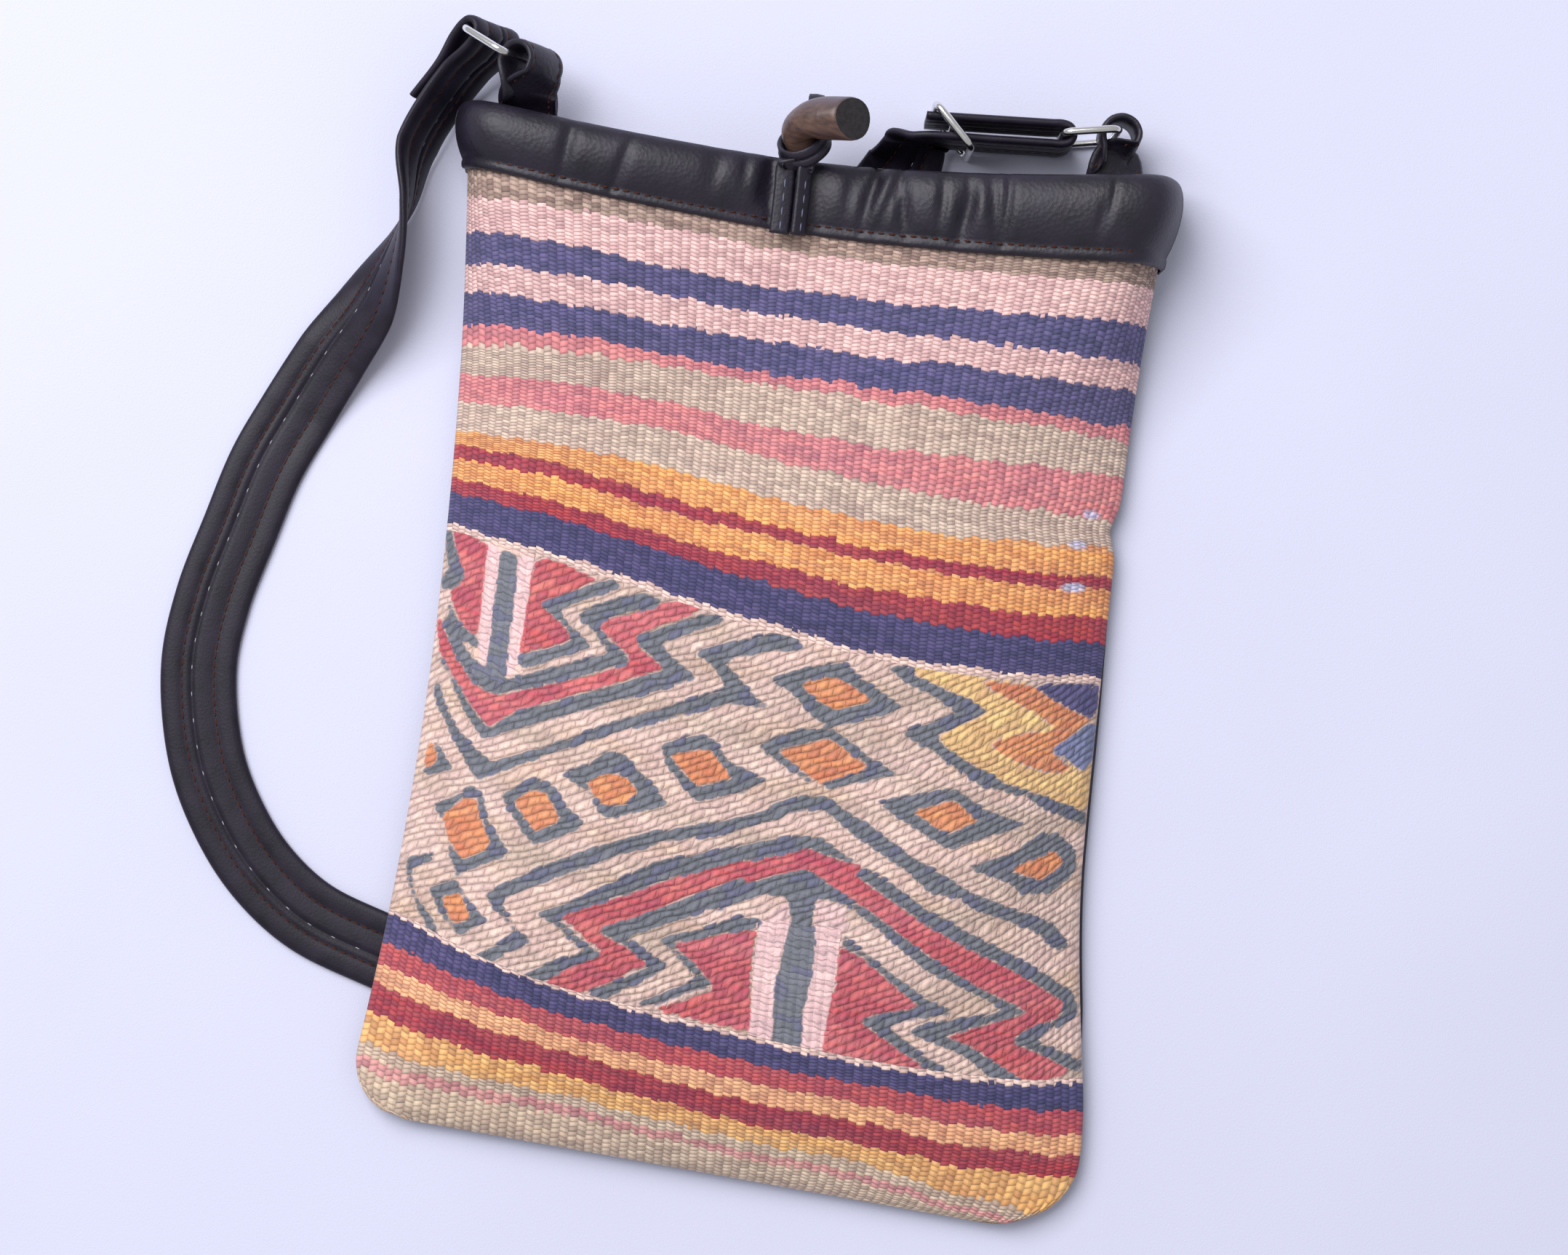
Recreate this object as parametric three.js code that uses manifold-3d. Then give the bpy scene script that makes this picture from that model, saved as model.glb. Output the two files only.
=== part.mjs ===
// Kilim crossbody bag lying on its back: X across, Y towards the mouth, Z up, in millimetres.
import * as THREE from 'three';
import { mergeVertices } from 'three/addons/utils/BufferGeometryUtils.js';
import Module from 'manifold-3d';

const wasm = await Module();
wasm.setup();

// Bag outline
const MOUTH_WIDTH = 222;
const WAIST_WIDTH = 207;
const BASE_WIDTH = 232;
const MOUTH_Y = 158;
const WAIST_Y = 5;
const BASE_Y = -167;
const CORNER_RADIUS = 22;
const MOUTH_SAG = 8;
const BASE_SKEW = 6;

// Cloth and leather thicknesses
const KILIM_THICK = 3;
const BACK_THICK = 4.6;
const LINING_THICK = 1.2;
const LINING_SLACK = 2.6;
const BAND_THICK = 1.4;
const BAND_SLACK = 0.9;
const GAP = 0.3;

// Fullness of the front
const BODY_LIFT = 19;
const MOUTH_LIFT = 15;
const MOUTH_PINCH = 5;
const PINCH_SPAN = 0.3;
const MOUTH_GAPE = 8;
const MOUTH_RISE = 8;
const BODY_FULLNESS = 4;
const MOUTH_FULLNESS = 22;
const FULL_UP_TO_Y = 70;
const FULL_DOWN_TO_Y = -60;

// Weave ribs
const RIB_COUNT = 64;
const RIB_DEPTH = 0.7;

// Seams and band
const SEAM_WIDTH = 5;
const SIDE_INSET = 16;
const BASE_SEAM = 30;
const LINING_BASE_WALL = 4;
const BAND_HEIGHT = 21;
const BAND_SLANT = 7;
const BAND_LAP = 8;
const BAND_ROUND = 3;
const PUCKER_DEPTH = 0.5;
const PUCKER_COUNT = 16;

// Strap
const STRAP_WIDTH = 24;
const STRAP_THICK = 2.4;
const STRAP_FLOOR_GAP = 0.3;
const STRAP_STEPS = 190;
const STRAP_SEWN_END = 28;
const GROOVE_CLEAR = 0.6;
const EYE_CLEAR = 0.7;

// Rings and slide
const WIRE = 2.4;
const RING_PITCH = 17;
const RING_CORNER = 3;
const RING_SIDE_CLEAR = 0.75;
const SLIDE_PITCH = 8.4;
const SLIDE_FROM_RING = 34;

// Tabs
const TAB_WIDTH = 18;
const TAB_THICK = 2;
const TAB_X = 91.8;
const TAB_BASE_Y = 138;
const TAB_BASE_Z = 17.2;
const TAB_HOLE_RADIUS = 4.6;
const TAB_HOLE_AT = 31.5;
const TAB_TWIST_FROM = 20.8;
const TAB_EASE = 2.5;
const LEFT_TAB_TURN = 60;
const RIGHT_TAB_TURN = 90;
const LEFT_TAB_CURL = 11;

// Toggle closure
const COLLAR_AT = [-5.5, 154.5, 31];
const COLLAR_LEAN = [-0.42, 0.62, 0.66];
const COLLAR_CLEAR = 0.8;
const NECK_RADIUS = 5.1;
const NECK_BELOW = 3.4;
const NECK_ABOVE = 5;
const TOGGLE_ELBOW = [-4.6, 161, 40];
const TOGGLE_ARM = [0.5, 163, 41.6];
const TOGGLE_END = [7.7, 163.6, 46];
const TOGGLE_END_RADIUS = 5.9;
const TIE_WIDTH = 12;
const TIE_THICK = 1.8;
const TIE_CLEAR = 0.6;
const COLLAR_WIDTH = 6;
const LOOP_X = -3;
const LOOP_WIDTH = 5;
const LOOP_RADIUS = 2.4;
const LOOP_AT = [166.6, 26];

const END_CROWDING = 0.1;
const UP = new THREE.Vector3(0, 0, 1);
const { lerp, clamp, smoothstep, degToRad } = THREE.MathUtils;

// Form of the bag

function halfWidth(y) {
  const upper = y > WAIST_Y;
  const reach = (y - WAIST_Y) / ((upper ? MOUTH_Y : BASE_Y) - WAIST_Y);
  const flare = (upper ? MOUTH_WIDTH : BASE_WIDTH) - WAIST_WIDTH;
  const overCorner = clamp(1 - (y - BASE_Y) / CORNER_RADIUS, 0, 1);
  const corner = CORNER_RADIUS * (1 - Math.sqrt(1 - overCorner ** 2));
  return (WAIST_WIDTH + flare * reach ** 2) / 2 - corner;
}

function backZ(y) {
  return MOUTH_RISE * smoothstep(y, FULL_UP_TO_Y, MOUTH_Y);
}

function seamZ(y) {
  return backZ(y) + BACK_THICK + GAP;
}

function liningZ(y) {
  return seamZ(y) + GAP;
}

function frontZ(x, y) {
  const across = clamp(x / halfWidth(y), -1, 1);
  const toMouth = smoothstep(y, FULL_UP_TO_Y, MOUTH_Y);
  const toBase = clamp((FULL_DOWN_TO_Y - y) / (FULL_DOWN_TO_Y - BASE_Y), 0, 1);
  const gape = MOUTH_GAPE * Math.max(across, 0) ** 2;
  const pinch = MOUTH_PINCH * Math.exp(-((across / PINCH_SPAN) ** 2));
  const lift = lerp(BODY_LIFT, MOUTH_LIFT + gape - pinch, toMouth);
  const fullness = lerp(BODY_FULLNESS, MOUTH_FULLNESS, toMouth);
  return seamZ(y) + lift * (1 - Math.abs(across) ** fullness) * (1 - toBase ** 4);
}

function settleY(x, y) {
  const across = clamp(x / halfWidth(y), -1, 1);
  const height = clamp((y - BASE_Y) / (MOUTH_Y - BASE_Y), 0, 1.1);
  const sag = MOUTH_SAG * (1 - across ** 2) * height ** 4;
  const skew = BASE_SKEW * across * (1 - height) ** 2;
  return y - sag - skew;
}

// Shape tools

function solidOf(geometry) {
  const bare = geometry.clone();
  bare.deleteAttribute('normal');
  bare.deleteAttribute('uv');
  const merged = mergeVertices(bare, 1e-4);
  return new wasm.Manifold(new wasm.Mesh({
    numProp: 3,
    vertProperties: Float32Array.from(merged.attributes.position.array),
    triVerts: Uint32Array.from(merged.index.array),
  }));
}

function geometryOf(solid) {
  const mesh = solid.getMesh();
  const geometry = new THREE.BufferGeometry();
  geometry.setAttribute('position', new THREE.BufferAttribute(mesh.vertProperties, 3));
  geometry.setIndex(new THREE.BufferAttribute(mesh.triVerts, 1));
  geometry.computeVertexNormals();
  return geometry;
}

function reshape(geometry, place) {
  const position = geometry.attributes.position;
  const point = new THREE.Vector3();
  for (let i = 0; i < position.count; i += 1) {
    point.fromBufferAttribute(position, i);
    place(point);
    position.setXYZ(i, point.x, point.y, point.z);
  }
  geometry.computeVertexNormals();
  return geometry;
}

function edgeCrowded(share) {
  return Math.sin(share * Math.PI / 2);
}

function level() {
  return 0;
}

// A layer of the bag between two heights: rows of low and high points, closed at both ends
function layer(shape) {
  const { from, to, steps, lowColumns, highColumns, half, low, high } = shape;
  const { spread = edgeCrowded, fall = level } = shape;
  const row = lowColumns + highColumns + 2;
  const points = [];
  const faces = [];
  const put = (y, down, across, height) => {
    const x = across * half(y);
    points.push(x, settleY(x, y) - fall(across, down), height(x, y, across));
  };
  for (let step = 0; step <= steps; step += 1) {
    const down = step / steps;
    const y = lerp(to, from, down - END_CROWDING * Math.sin(2 * Math.PI * down));
    for (let i = 0; i <= lowColumns; i += 1) put(y, down, edgeCrowded((2 * i) / lowColumns - 1), low);
    for (let i = 0; i <= highColumns; i += 1) put(y, down, spread(1 - (2 * i) / highColumns), high);
  }
  for (let step = 0; step < steps; step += 1) {
    for (let i = 0; i < row; i += 1) {
      const a = step * row + i;
      const b = step * row + ((i + 1) % row);
      faces.push(a, b, a + row, b, b + row, a + row);
    }
  }
  const close = (start, flip) => {
    let i = 0;
    let j = 0;
    while (i < lowColumns || j < highColumns) {
      const lowPoint = start + i;
      const highPoint = start + row - 1 - j;
      const lowNext = (i + 1) / lowColumns <= (j + 1) / highColumns && i < lowColumns;
      const third = lowNext ? lowPoint + 1 : highPoint - 1;
      faces.push(...(flip ? [lowPoint, third, highPoint] : [lowPoint, highPoint, third]));
      if (lowNext) i += 1;
      else j += 1;
    }
  };
  close(0, false);
  close(steps * row, true);
  const geometry = new THREE.BufferGeometry();
  geometry.setAttribute('position', new THREE.Float32BufferAttribute(points, 3));
  geometry.setIndex(faces);
  geometry.computeVertexNormals();
  return geometry;
}

// A flat strip swept along hand-chosen stations: place and the direction of its width
function ribbon(stations, width, thick, steps) {
  const middle = new THREE.CatmullRomCurve3(stations.map((s) => s.at));
  const last = stations.length - 1;
  const cut = { depth: 1, steps, bevelEnabled: false };
  const section = new THREE.Shape([
    new THREE.Vector2(-width / 2, -thick / 2),
    new THREE.Vector2(width / 2, -thick / 2),
    new THREE.Vector2(width / 2, thick / 2),
    new THREE.Vector2(-width / 2, thick / 2),
  ]);
  return reshape(new THREE.ExtrudeGeometry(section, cut), (p) => {
    const t = clamp(p.z, 0, 1);
    const index = Math.min(Math.floor(t * last), last - 1);
    const side = stations[index].side.clone().lerp(stations[index + 1].side, t * last - index);
    const along = middle.getTangent(t);
    const face = new THREE.Vector3().crossVectors(along, side).normalize();
    side.crossVectors(face, along).normalize();
    p.copy(middle.getPoint(t).addScaledVector(side, p.x).addScaledVector(face, p.y));
  });
}

// A closed wire frame with round corners, lying in its own XY plane
function wireFrame(length, pitch) {
  const around = 16;
  const sides = 10;
  const frame = new THREE.TorusGeometry(RING_CORNER, WIRE / 2, sides, around);
  frame.rotateZ(Math.PI / around);
  return reshape(frame, (p) => {
    const turn = Math.atan2(p.y, p.x);
    p.x += Math.sign(Math.cos(turn)) * (length / 2 - RING_CORNER);
    p.y += Math.sign(Math.sin(turn)) * (pitch / 2 - RING_CORNER);
  });
}

function hoop(radius, thick, width) {
  const outline = new THREE.Shape().absarc(0, 0, radius + thick, 0, Math.PI * 2);
  outline.holes.push(new THREE.Path().absarc(0, 0, radius, 0, Math.PI * 2, true));
  const cut = { depth: width, bevelEnabled: false, curveSegments: 10 };
  return new THREE.ExtrudeGeometry(outline, cut).translate(0, 0, -width / 2).rotateY(Math.PI / 2);
}

// Body panels

function frontPanel() {
  const rib = (across) => {
    const ridge = Math.round((across + 1) * RIB_COUNT);
    return ridge % 2 === 1 ? RIB_DEPTH : 0;
  };
  return layer({
    from: BASE_Y,
    to: panelTopY,
    steps: 16,
    lowColumns: 20,
    highColumns: 2 * RIB_COUNT,
    half: halfWidth,
    low: frontZ,
    high: (x, y, across) => frontZ(x, y) + KILIM_THICK - RIB_DEPTH + rib(across),
    spread: (share) => share,
  });
}

function backPanel() {
  const plain = layer({
    from: BASE_Y,
    to: panelTopY,
    steps: 16,
    lowColumns: 16,
    highColumns: 16,
    half: halfWidth,
    low: (x, y) => backZ(y),
    high: (x, y) => backZ(y) + BACK_THICK,
  });
  const hollow = ribbon(strapStations(), STRAP_WIDTH + 2 * GROOVE_CLEAR, grooveThick, STRAP_STEPS);
  return geometryOf(solidOf(plain).subtract(solidOf(hollow)));
}

function liningHalf(y) {
  return halfWidth(y) - lerp(SIDE_INSET, SEAM_WIDTH, smoothstep(y, FULL_UP_TO_Y, bandLowY));
}

function liningPouch() {
  const inset = (wall) => (y) => liningHalf(y) - wall;
  const pouch = (wall, from, to) => layer({
    from,
    to,
    steps: 14,
    lowColumns: 12,
    highColumns: 20,
    half: inset(wall),
    low: (x, y) => liningZ(y) + wall,
    high: (x, y) => frontZ(x, y) - LINING_SLACK - wall,
  });
  const outer = pouch(0, BASE_Y + BASE_SEAM, panelTopY);
  const inner = pouch(LINING_THICK, BASE_Y + BASE_SEAM + LINING_BASE_WALL, panelTopY + 1);
  return geometryOf(solidOf(outer).subtract(solidOf(inner)));
}

function bandTopZ(x, y) {
  return frontZ(x, y) + KILIM_THICK + BAND_SLACK + BAND_THICK;
}

function mouthBand() {
  const roundOff = (y) => {
    const over = clamp((y - MOUTH_Y + BAND_ROUND) / BAND_ROUND, 0, 1);
    return BAND_ROUND * (1 - Math.sqrt(1 - over ** 2)) * 0.8;
  };
  const pucker = (across) => PUCKER_DEPTH * Math.cos(across * PUCKER_COUNT * Math.PI);
  const outer = layer({
    from: bandLowY,
    to: MOUTH_Y,
    steps: 8,
    lowColumns: 16,
    highColumns: 64,
    spread: (share) => share,
    half: (y) => halfWidth(y) + BAND_SLACK + BAND_THICK - roundOff(y),
    low: (x, y) => backZ(y) - GAP - BAND_THICK + roundOff(y),
    high: (x, y, across) => bandTopZ(x, y) + pucker(across) - roundOff(y),
    fall: (across, down) => BAND_SLANT * down * (across + 1) / 2,
  });
  const pocket = layer({
    from: bandLowY - BAND_SLANT - 2,
    to: panelTopY + BAND_SLACK,
    steps: 6,
    lowColumns: 16,
    highColumns: 36,
    half: (y) => halfWidth(y) + BAND_SLACK,
    low: (x, y) => backZ(y) - GAP,
    high: (x, y) => frontZ(x, y) + KILIM_THICK + BAND_SLACK,
  });
  const mouth = layer({
    from: bandLowY - BAND_SLANT - 2,
    to: MOUTH_Y + 1,
    steps: 8,
    lowColumns: 20,
    highColumns: 20,
    half: (y) => liningHalf(y) - LINING_THICK,
    low: (x, y) => liningZ(y) + LINING_THICK,
    high: (x, y) => frontZ(x, y) - LINING_SLACK - LINING_THICK,
  });
  return geometryOf(solidOf(outer).subtract(solidOf(pocket)).subtract(solidOf(mouth)));
}

// Tabs and rings

function tab(side, turn, curl) {
  const legOffset = (TAB_THICK + GAP) / 2;
  const loopRadius = TAB_HOLE_RADIUS + TAB_THICK / 2;
  const station = (u, v) => {
    const twist = degToRad(turn) * smoothstep(u, TAB_TWIST_FROM, TAB_HOLE_AT - 2);
    const rise = curl * smoothstep(u, TAB_TWIST_FROM - TAB_EASE, TAB_HOLE_AT - loopRadius);
    const width = new THREE.Vector3(Math.cos(twist), 0, -Math.sin(twist));
    const face = new THREE.Vector3(Math.sin(twist), 0, Math.cos(twist));
    const at = new THREE.Vector3(side * TAB_X, TAB_BASE_Y + u, TAB_BASE_Z + rise);
    return { at: at.addScaledVector(face, v), side: width };
  };
  const leg = [0, 0.25, 0.5, 0.75, 1].map((share) => share * (TAB_HOLE_AT - loopRadius - TAB_EASE));
  const turns = [-120, -80, -40, 0, 40, 80, 120].map(degToRad);
  return ribbon([
    ...leg.map((u) => station(u, -legOffset)),
    ...turns.map((a) => station(TAB_HOLE_AT + loopRadius * Math.cos(a), loopRadius * Math.sin(a))),
    ...leg.reverse().map((u) => station(u, legOffset)),
  ], TAB_WIDTH, TAB_THICK, 48);
}

// A ring's near bar lies in its tab and its far bar carries the strap
const leftRing = {
  near: new THREE.Vector3(-TAB_X - 1.3, TAB_BASE_Y + TAB_HOLE_AT + 1.4, TAB_BASE_Z + LEFT_TAB_CURL - 0.1),
  bar: new THREE.Vector3(0.5, 0, -0.866).normalize(),
  reach: new THREE.Vector3(-0.782, 0.429, -0.4515).normalize(),
};
const rightRing = {
  near: new THREE.Vector3(TAB_X - 1.2, TAB_BASE_Y + TAB_HOLE_AT + 0.9, ringHalfLength() + 0.3),
  bar: new THREE.Vector3(0, 0, -1),
  reach: new THREE.Vector3(-0.985, -0.174, 0).normalize(),
};

function ringHalfLength() {
  return STRAP_WIDTH / 2 + RING_SIDE_CLEAR + WIRE;
}

function farBar(ring) {
  return ring.near.clone().addScaledVector(ring.reach, RING_PITCH);
}

function placedRing(ring) {
  const middle = ring.near.clone().addScaledVector(ring.reach, RING_PITCH / 2);
  const normal = new THREE.Vector3().crossVectors(ring.bar, ring.reach);
  const frame = wireFrame(2 * ringHalfLength() - WIRE, RING_PITCH);
  frame.applyMatrix4(new THREE.Matrix4().makeBasis(ring.bar, ring.reach, normal));
  return frame.translate(middle.x, middle.y, middle.z);
}

// Strap

const panelTopY = MOUTH_Y - BAND_HEIGHT + BAND_LAP;
const bandLowY = MOUTH_Y - BAND_HEIGHT;
const eyeRadius = WIRE / 2 + EYE_CLEAR + STRAP_THICK / 2;
const grooveThick = STRAP_THICK + 2 * GROOVE_CLEAR;
const flatZ = STRAP_FLOOR_GAP + STRAP_THICK / 2;
const rightRun = new THREE.Vector3(-1, -0.05, 0).normalize();
const rightLower = new THREE.Vector3(0.05, -1, 0).normalize();

// Eye round a ring's far bar: from the strand on one face to the strand on the other
function eye(ring, run, face) {
  const bar = farBar(ring);
  const quarter = Math.SQRT1_2;
  const turn = [[0, 1], [-quarter, quarter], [-1, 0], [-quarter, -quarter], [0, -1]];
  return turn.map(([back, out]) => ({
    at: bar.clone().addScaledVector(run, back * eyeRadius).addScaledVector(face, out * eyeRadius),
    side: ring.bar.clone(),
  }));
}

function strand(ring, run, face, distance, offset) {
  const at = farBar(ring).addScaledVector(run, distance).addScaledVector(face, offset);
  return { at, side: ring.bar.clone() };
}

// Lay of the strap on the floor: x, y, height of the middle, roll of the width in degrees
const leftLay = [
  [-125.5, 143, 13.2, -66],
  [-126.5, 124, 13.4, -90],
  [-130, 108, 12.6, -118],
  [-136, 92, 8.4, -150],
  [-146, 75, 4, -172],
  [-155, 57, flatZ, -180],
  [-163, 39, flatZ, -180],
  [-169, 18, flatZ, -180],
  [-175, -5, flatZ, -180],
  [-177, -27, flatZ, -180],
  [-171.5, -55, flatZ, -180],
  [-162, -74, flatZ, -180],
  [-150, -89, flatZ, -180],
  [-134, -101, flatZ, -180],
  [-112, -109, flatZ, -180],
  [-70, -120, flatZ, -180],
  [-25, -127, flatZ, -180],
  [20, -125, flatZ, -180],
  [58, -110, flatZ, -180],
  [79, -76, flatZ, -180],
  [62, -41, flatZ, -180],
  [20, -26, flatZ, -180],
  [-25, -19, flatZ, -180],
  [-61, 3, flatZ, -180],
  [-77, 40, flatZ, -180],
  [-68, 82, flatZ, -180],
  [-42, 112, flatZ, -180],
  [-4, 125, flatZ, -180],
  [18, 142, 2, -180],
  [26, 154, 6, -164],
  [29, 161.6, 12.4, -122],
];

function laidStation([x, y, z, roll], index, lay) {
  const before = lay[Math.max(index - 1, 0)];
  const after = lay[Math.min(index + 1, lay.length - 1)];
  const heading = new THREE.Vector3(after[0] - before[0], after[1] - before[1], 0).normalize();
  const level = new THREE.Vector3().crossVectors(UP, heading);
  const side = level.multiplyScalar(Math.cos(degToRad(roll))).addScaledVector(UP, Math.sin(degToRad(roll)));
  return { at: new THREE.Vector3(x, y, z), side };
}

function strapStations() {
  const leftRun = new THREE.Vector3(-0.54, -0.783, -0.3118).normalize();
  const leftFace = new THREE.Vector3().crossVectors(leftRun, leftRing.bar).normalize();
  const sewn = (STRAP_THICK + GAP) / 2;
  const slideReach = SLIDE_FROM_RING + SLIDE_PITCH;
  return [
    strand(leftRing, leftRun, leftFace, STRAP_SEWN_END, -sewn),
    strand(leftRing, leftRun, leftFace, STRAP_SEWN_END / 2, -sewn),
    strand(leftRing, leftRun, leftFace, 5, -eyeRadius),
    ...eye(leftRing, leftRun, leftFace).reverse(),
    strand(leftRing, leftRun, leftFace, 5, eyeRadius),
    strand(leftRing, leftRun, leftFace, STRAP_SEWN_END / 2, sewn),
    ...leftLay.map(laidStation),
    strand(rightRing, rightRun, rightLower, slideReach, eyeRadius),
    strand(rightRing, rightRun, rightLower, slideReach / 2, eyeRadius),
    strand(rightRing, rightRun, rightLower, 4, eyeRadius),
    ...eye(rightRing, rightRun, rightLower),
    strand(rightRing, rightRun, rightLower, 4, -eyeRadius),
    strand(rightRing, rightRun, rightLower, slideReach / 2, -eyeRadius),
    strand(rightRing, rightRun, rightLower, slideReach, -eyeRadius),
  ];
}

function strapSlide() {
  const tilt = Math.asin(2 * eyeRadius / SLIDE_PITCH);
  const across = rightRun.clone().applyAxisAngle(UP, -tilt);
  const middle = strand(rightRing, rightRun, rightLower, SLIDE_FROM_RING, 0).at;
  const length = 2 * ringHalfLength() - WIRE;
  const bar = new THREE.CylinderGeometry(WIRE / 2, WIRE / 2, length, 10).rotateZ(Math.PI / 2);
  const frame = geometryOf(solidOf(wireFrame(length, 2 * SLIDE_PITCH)).add(solidOf(bar)));
  const normal = new THREE.Vector3().crossVectors(rightRing.bar, across);
  frame.applyMatrix4(new THREE.Matrix4().makeBasis(rightRing.bar, across, normal));
  return frame.translate(middle.x, middle.y, middle.z);
}

// Toggle closure

const collarAt = new THREE.Vector3(...COLLAR_AT);
const collarLean = new THREE.Vector3(...COLLAR_LEAN).normalize();
const ALONG_X = new THREE.Vector3(1, 0, 0);

function toggle() {
  const spine = new THREE.CatmullRomCurve3([
    collarAt.clone().addScaledVector(collarLean, -NECK_BELOW),
    collarAt.clone(),
    collarAt.clone().addScaledVector(collarLean, NECK_ABOVE),
    new THREE.Vector3(...TOGGLE_ELBOW),
    new THREE.Vector3(...TOGGLE_ARM),
    new THREE.Vector3(...TOGGLE_END),
  ]);
  const body = new THREE.CylinderGeometry(1, 1, 1, 14, 18).rotateX(Math.PI / 2);
  return reshape(body, (p) => {
    const t = clamp(p.z + 0.5, 0, 1);
    const along = spine.getTangent(t);
    const side = new THREE.Vector3(0, 1, 0).cross(along).normalize();
    const face = new THREE.Vector3().crossVectors(along, side);
    const taper = lerp(NECK_RADIUS, TOGGLE_END_RADIUS, smoothstep(t, 0.5, 1)) * (t === 0 ? 0.8 : 1);
    p.copy(spine.getPoint(t).addScaledVector(side, p.x * taper).addScaledVector(face, p.y * taper));
  });
}

function toggleTie() {
  const radius = NECK_RADIUS + COLLAR_CLEAR;
  const collar = hoop(radius, TIE_THICK, COLLAR_WIDTH);
  collar.applyQuaternion(new THREE.Quaternion().setFromUnitVectors(ALONG_X, collarLean));
  collar.translate(collarAt.x, collarAt.y, collarAt.z);
  const tieX = collarAt.x - TIE_THICK;
  const overBand = (y) => {
    const z = bandTopZ(tieX - TIE_WIDTH / 2, y) + PUCKER_DEPTH + TIE_CLEAR + TIE_THICK / 2;
    return { at: new THREE.Vector3(tieX, settleY(tieX, y), z), side: ALONG_X };
  };
  const front = new THREE.Vector3(0, -1, 0).addScaledVector(collarLean, collarLean.y).normalize();
  const meet = collarAt.clone().addScaledVector(front, radius + TIE_THICK / 2);
  const foot = bandLowY - BAND_SLANT / 2;
  const leg = ribbon([
    overBand(foot),
    overBand(lerp(foot, MOUTH_Y, 0.3)),
    overBand(lerp(foot, MOUTH_Y, 0.6)),
    { at: meet.clone().addScaledVector(collarLean, -COLLAR_WIDTH / 2), side: ALONG_X },
    { at: meet, side: ALONG_X },
  ], TIE_WIDTH - 1, TIE_THICK, 14);
  return geometryOf(solidOf(collar).add(solidOf(leg)));
}

function closureLoop() {
  const [loopY, loopZ] = LOOP_AT;
  const ring = hoop(LOOP_RADIUS, TIE_THICK, LOOP_WIDTH).translate(LOOP_X, loopY, loopZ);
  const inside = (y) => ({
    at: new THREE.Vector3(LOOP_X, settleY(LOOP_X, y), liningZ(y) + LINING_THICK + TIE_CLEAR + TIE_THICK / 2),
    side: ALONG_X,
  });
  const middle = LOOP_RADIUS + TIE_THICK / 2;
  const leg = ribbon([
    inside(panelTopY),
    inside((panelTopY + MOUTH_Y) / 2),
    inside(MOUTH_Y),
    { at: new THREE.Vector3(LOOP_X, loopY - middle * 1.6, loopZ - middle * 1.9), side: ALONG_X },
    { at: new THREE.Vector3(LOOP_X, loopY - middle * 0.7, loopZ - middle * 0.7), side: ALONG_X },
  ], LOOP_WIDTH - 1, TIE_THICK, 14);
  return geometryOf(solidOf(ring).add(solidOf(leg)));
}

// Assembly

const kilim = new THREE.MeshStandardMaterial({ color: 0xb98a78, roughness: 0.95 });
const leather = new THREE.MeshStandardMaterial({ color: 0x211a18, roughness: 0.55 });
const cotton = new THREE.MeshStandardMaterial({ color: 0x6f6358, roughness: 0.95 });
const horn = new THREE.MeshStandardMaterial({ color: 0x6f6057, roughness: 0.4 });
const nickel = new THREE.MeshStandardMaterial({ color: 0xc9c9c6, roughness: 0.2, metalness: 1 });

const bag = new THREE.Group();

function put(name, geometry, material) {
  const mesh = new THREE.Mesh(geometry, material);
  mesh.name = name;
  bag.add(mesh);
}

put('front_panel', frontPanel(), kilim);
put('back_panel', backPanel(), leather);
put('lining', liningPouch(), cotton);
put('mouth_band', mouthBand(), leather);
put('left_tab', tab(-1, LEFT_TAB_TURN, LEFT_TAB_CURL), leather);
put('right_tab', tab(1, RIGHT_TAB_TURN, 0), leather);
put('left_ring', placedRing(leftRing), nickel);
put('right_ring', placedRing(rightRing), nickel);
put('strap', ribbon(strapStations(), STRAP_WIDTH, STRAP_THICK, STRAP_STEPS), leather);
put('strap_slide', strapSlide(), nickel);
put('toggle', toggle(), horn);
put('toggle_tie', toggleTie(), leather);
put('closure_loop', closureLoop(), leather);

export default bag;
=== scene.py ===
"""Kilim crossbody bag lying on its back: woven front, leather band and strap, horn toggle."""

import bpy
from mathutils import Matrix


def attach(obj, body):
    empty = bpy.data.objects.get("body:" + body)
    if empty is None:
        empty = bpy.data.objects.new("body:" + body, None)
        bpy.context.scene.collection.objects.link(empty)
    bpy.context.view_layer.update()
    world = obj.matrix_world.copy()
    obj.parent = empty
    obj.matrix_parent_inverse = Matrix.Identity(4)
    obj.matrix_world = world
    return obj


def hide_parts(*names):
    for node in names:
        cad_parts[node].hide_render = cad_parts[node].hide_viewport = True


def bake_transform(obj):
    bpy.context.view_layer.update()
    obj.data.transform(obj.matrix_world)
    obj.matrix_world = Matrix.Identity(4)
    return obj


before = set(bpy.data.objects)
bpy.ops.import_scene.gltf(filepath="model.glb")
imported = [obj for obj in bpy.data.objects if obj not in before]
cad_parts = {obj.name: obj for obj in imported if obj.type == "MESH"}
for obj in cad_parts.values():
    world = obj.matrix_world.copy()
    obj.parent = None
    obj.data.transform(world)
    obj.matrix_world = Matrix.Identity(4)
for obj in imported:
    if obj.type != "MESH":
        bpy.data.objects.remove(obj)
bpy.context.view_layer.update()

import math

import bmesh
import bpy
import numpy as np
from mathutils import Matrix, Vector

bl_info = {
    "name": "Kilim crossbody bag",
    "version": (1, 0, 0),
    "blender": (4, 5, 0),
    "location": "View3D > Sidebar > Kilim bag",
    "description": "Builds a kilim crossbody bag with leather band, strap and horn toggle",
    "category": "Add Mesh",
}

MM = 0.001

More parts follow.
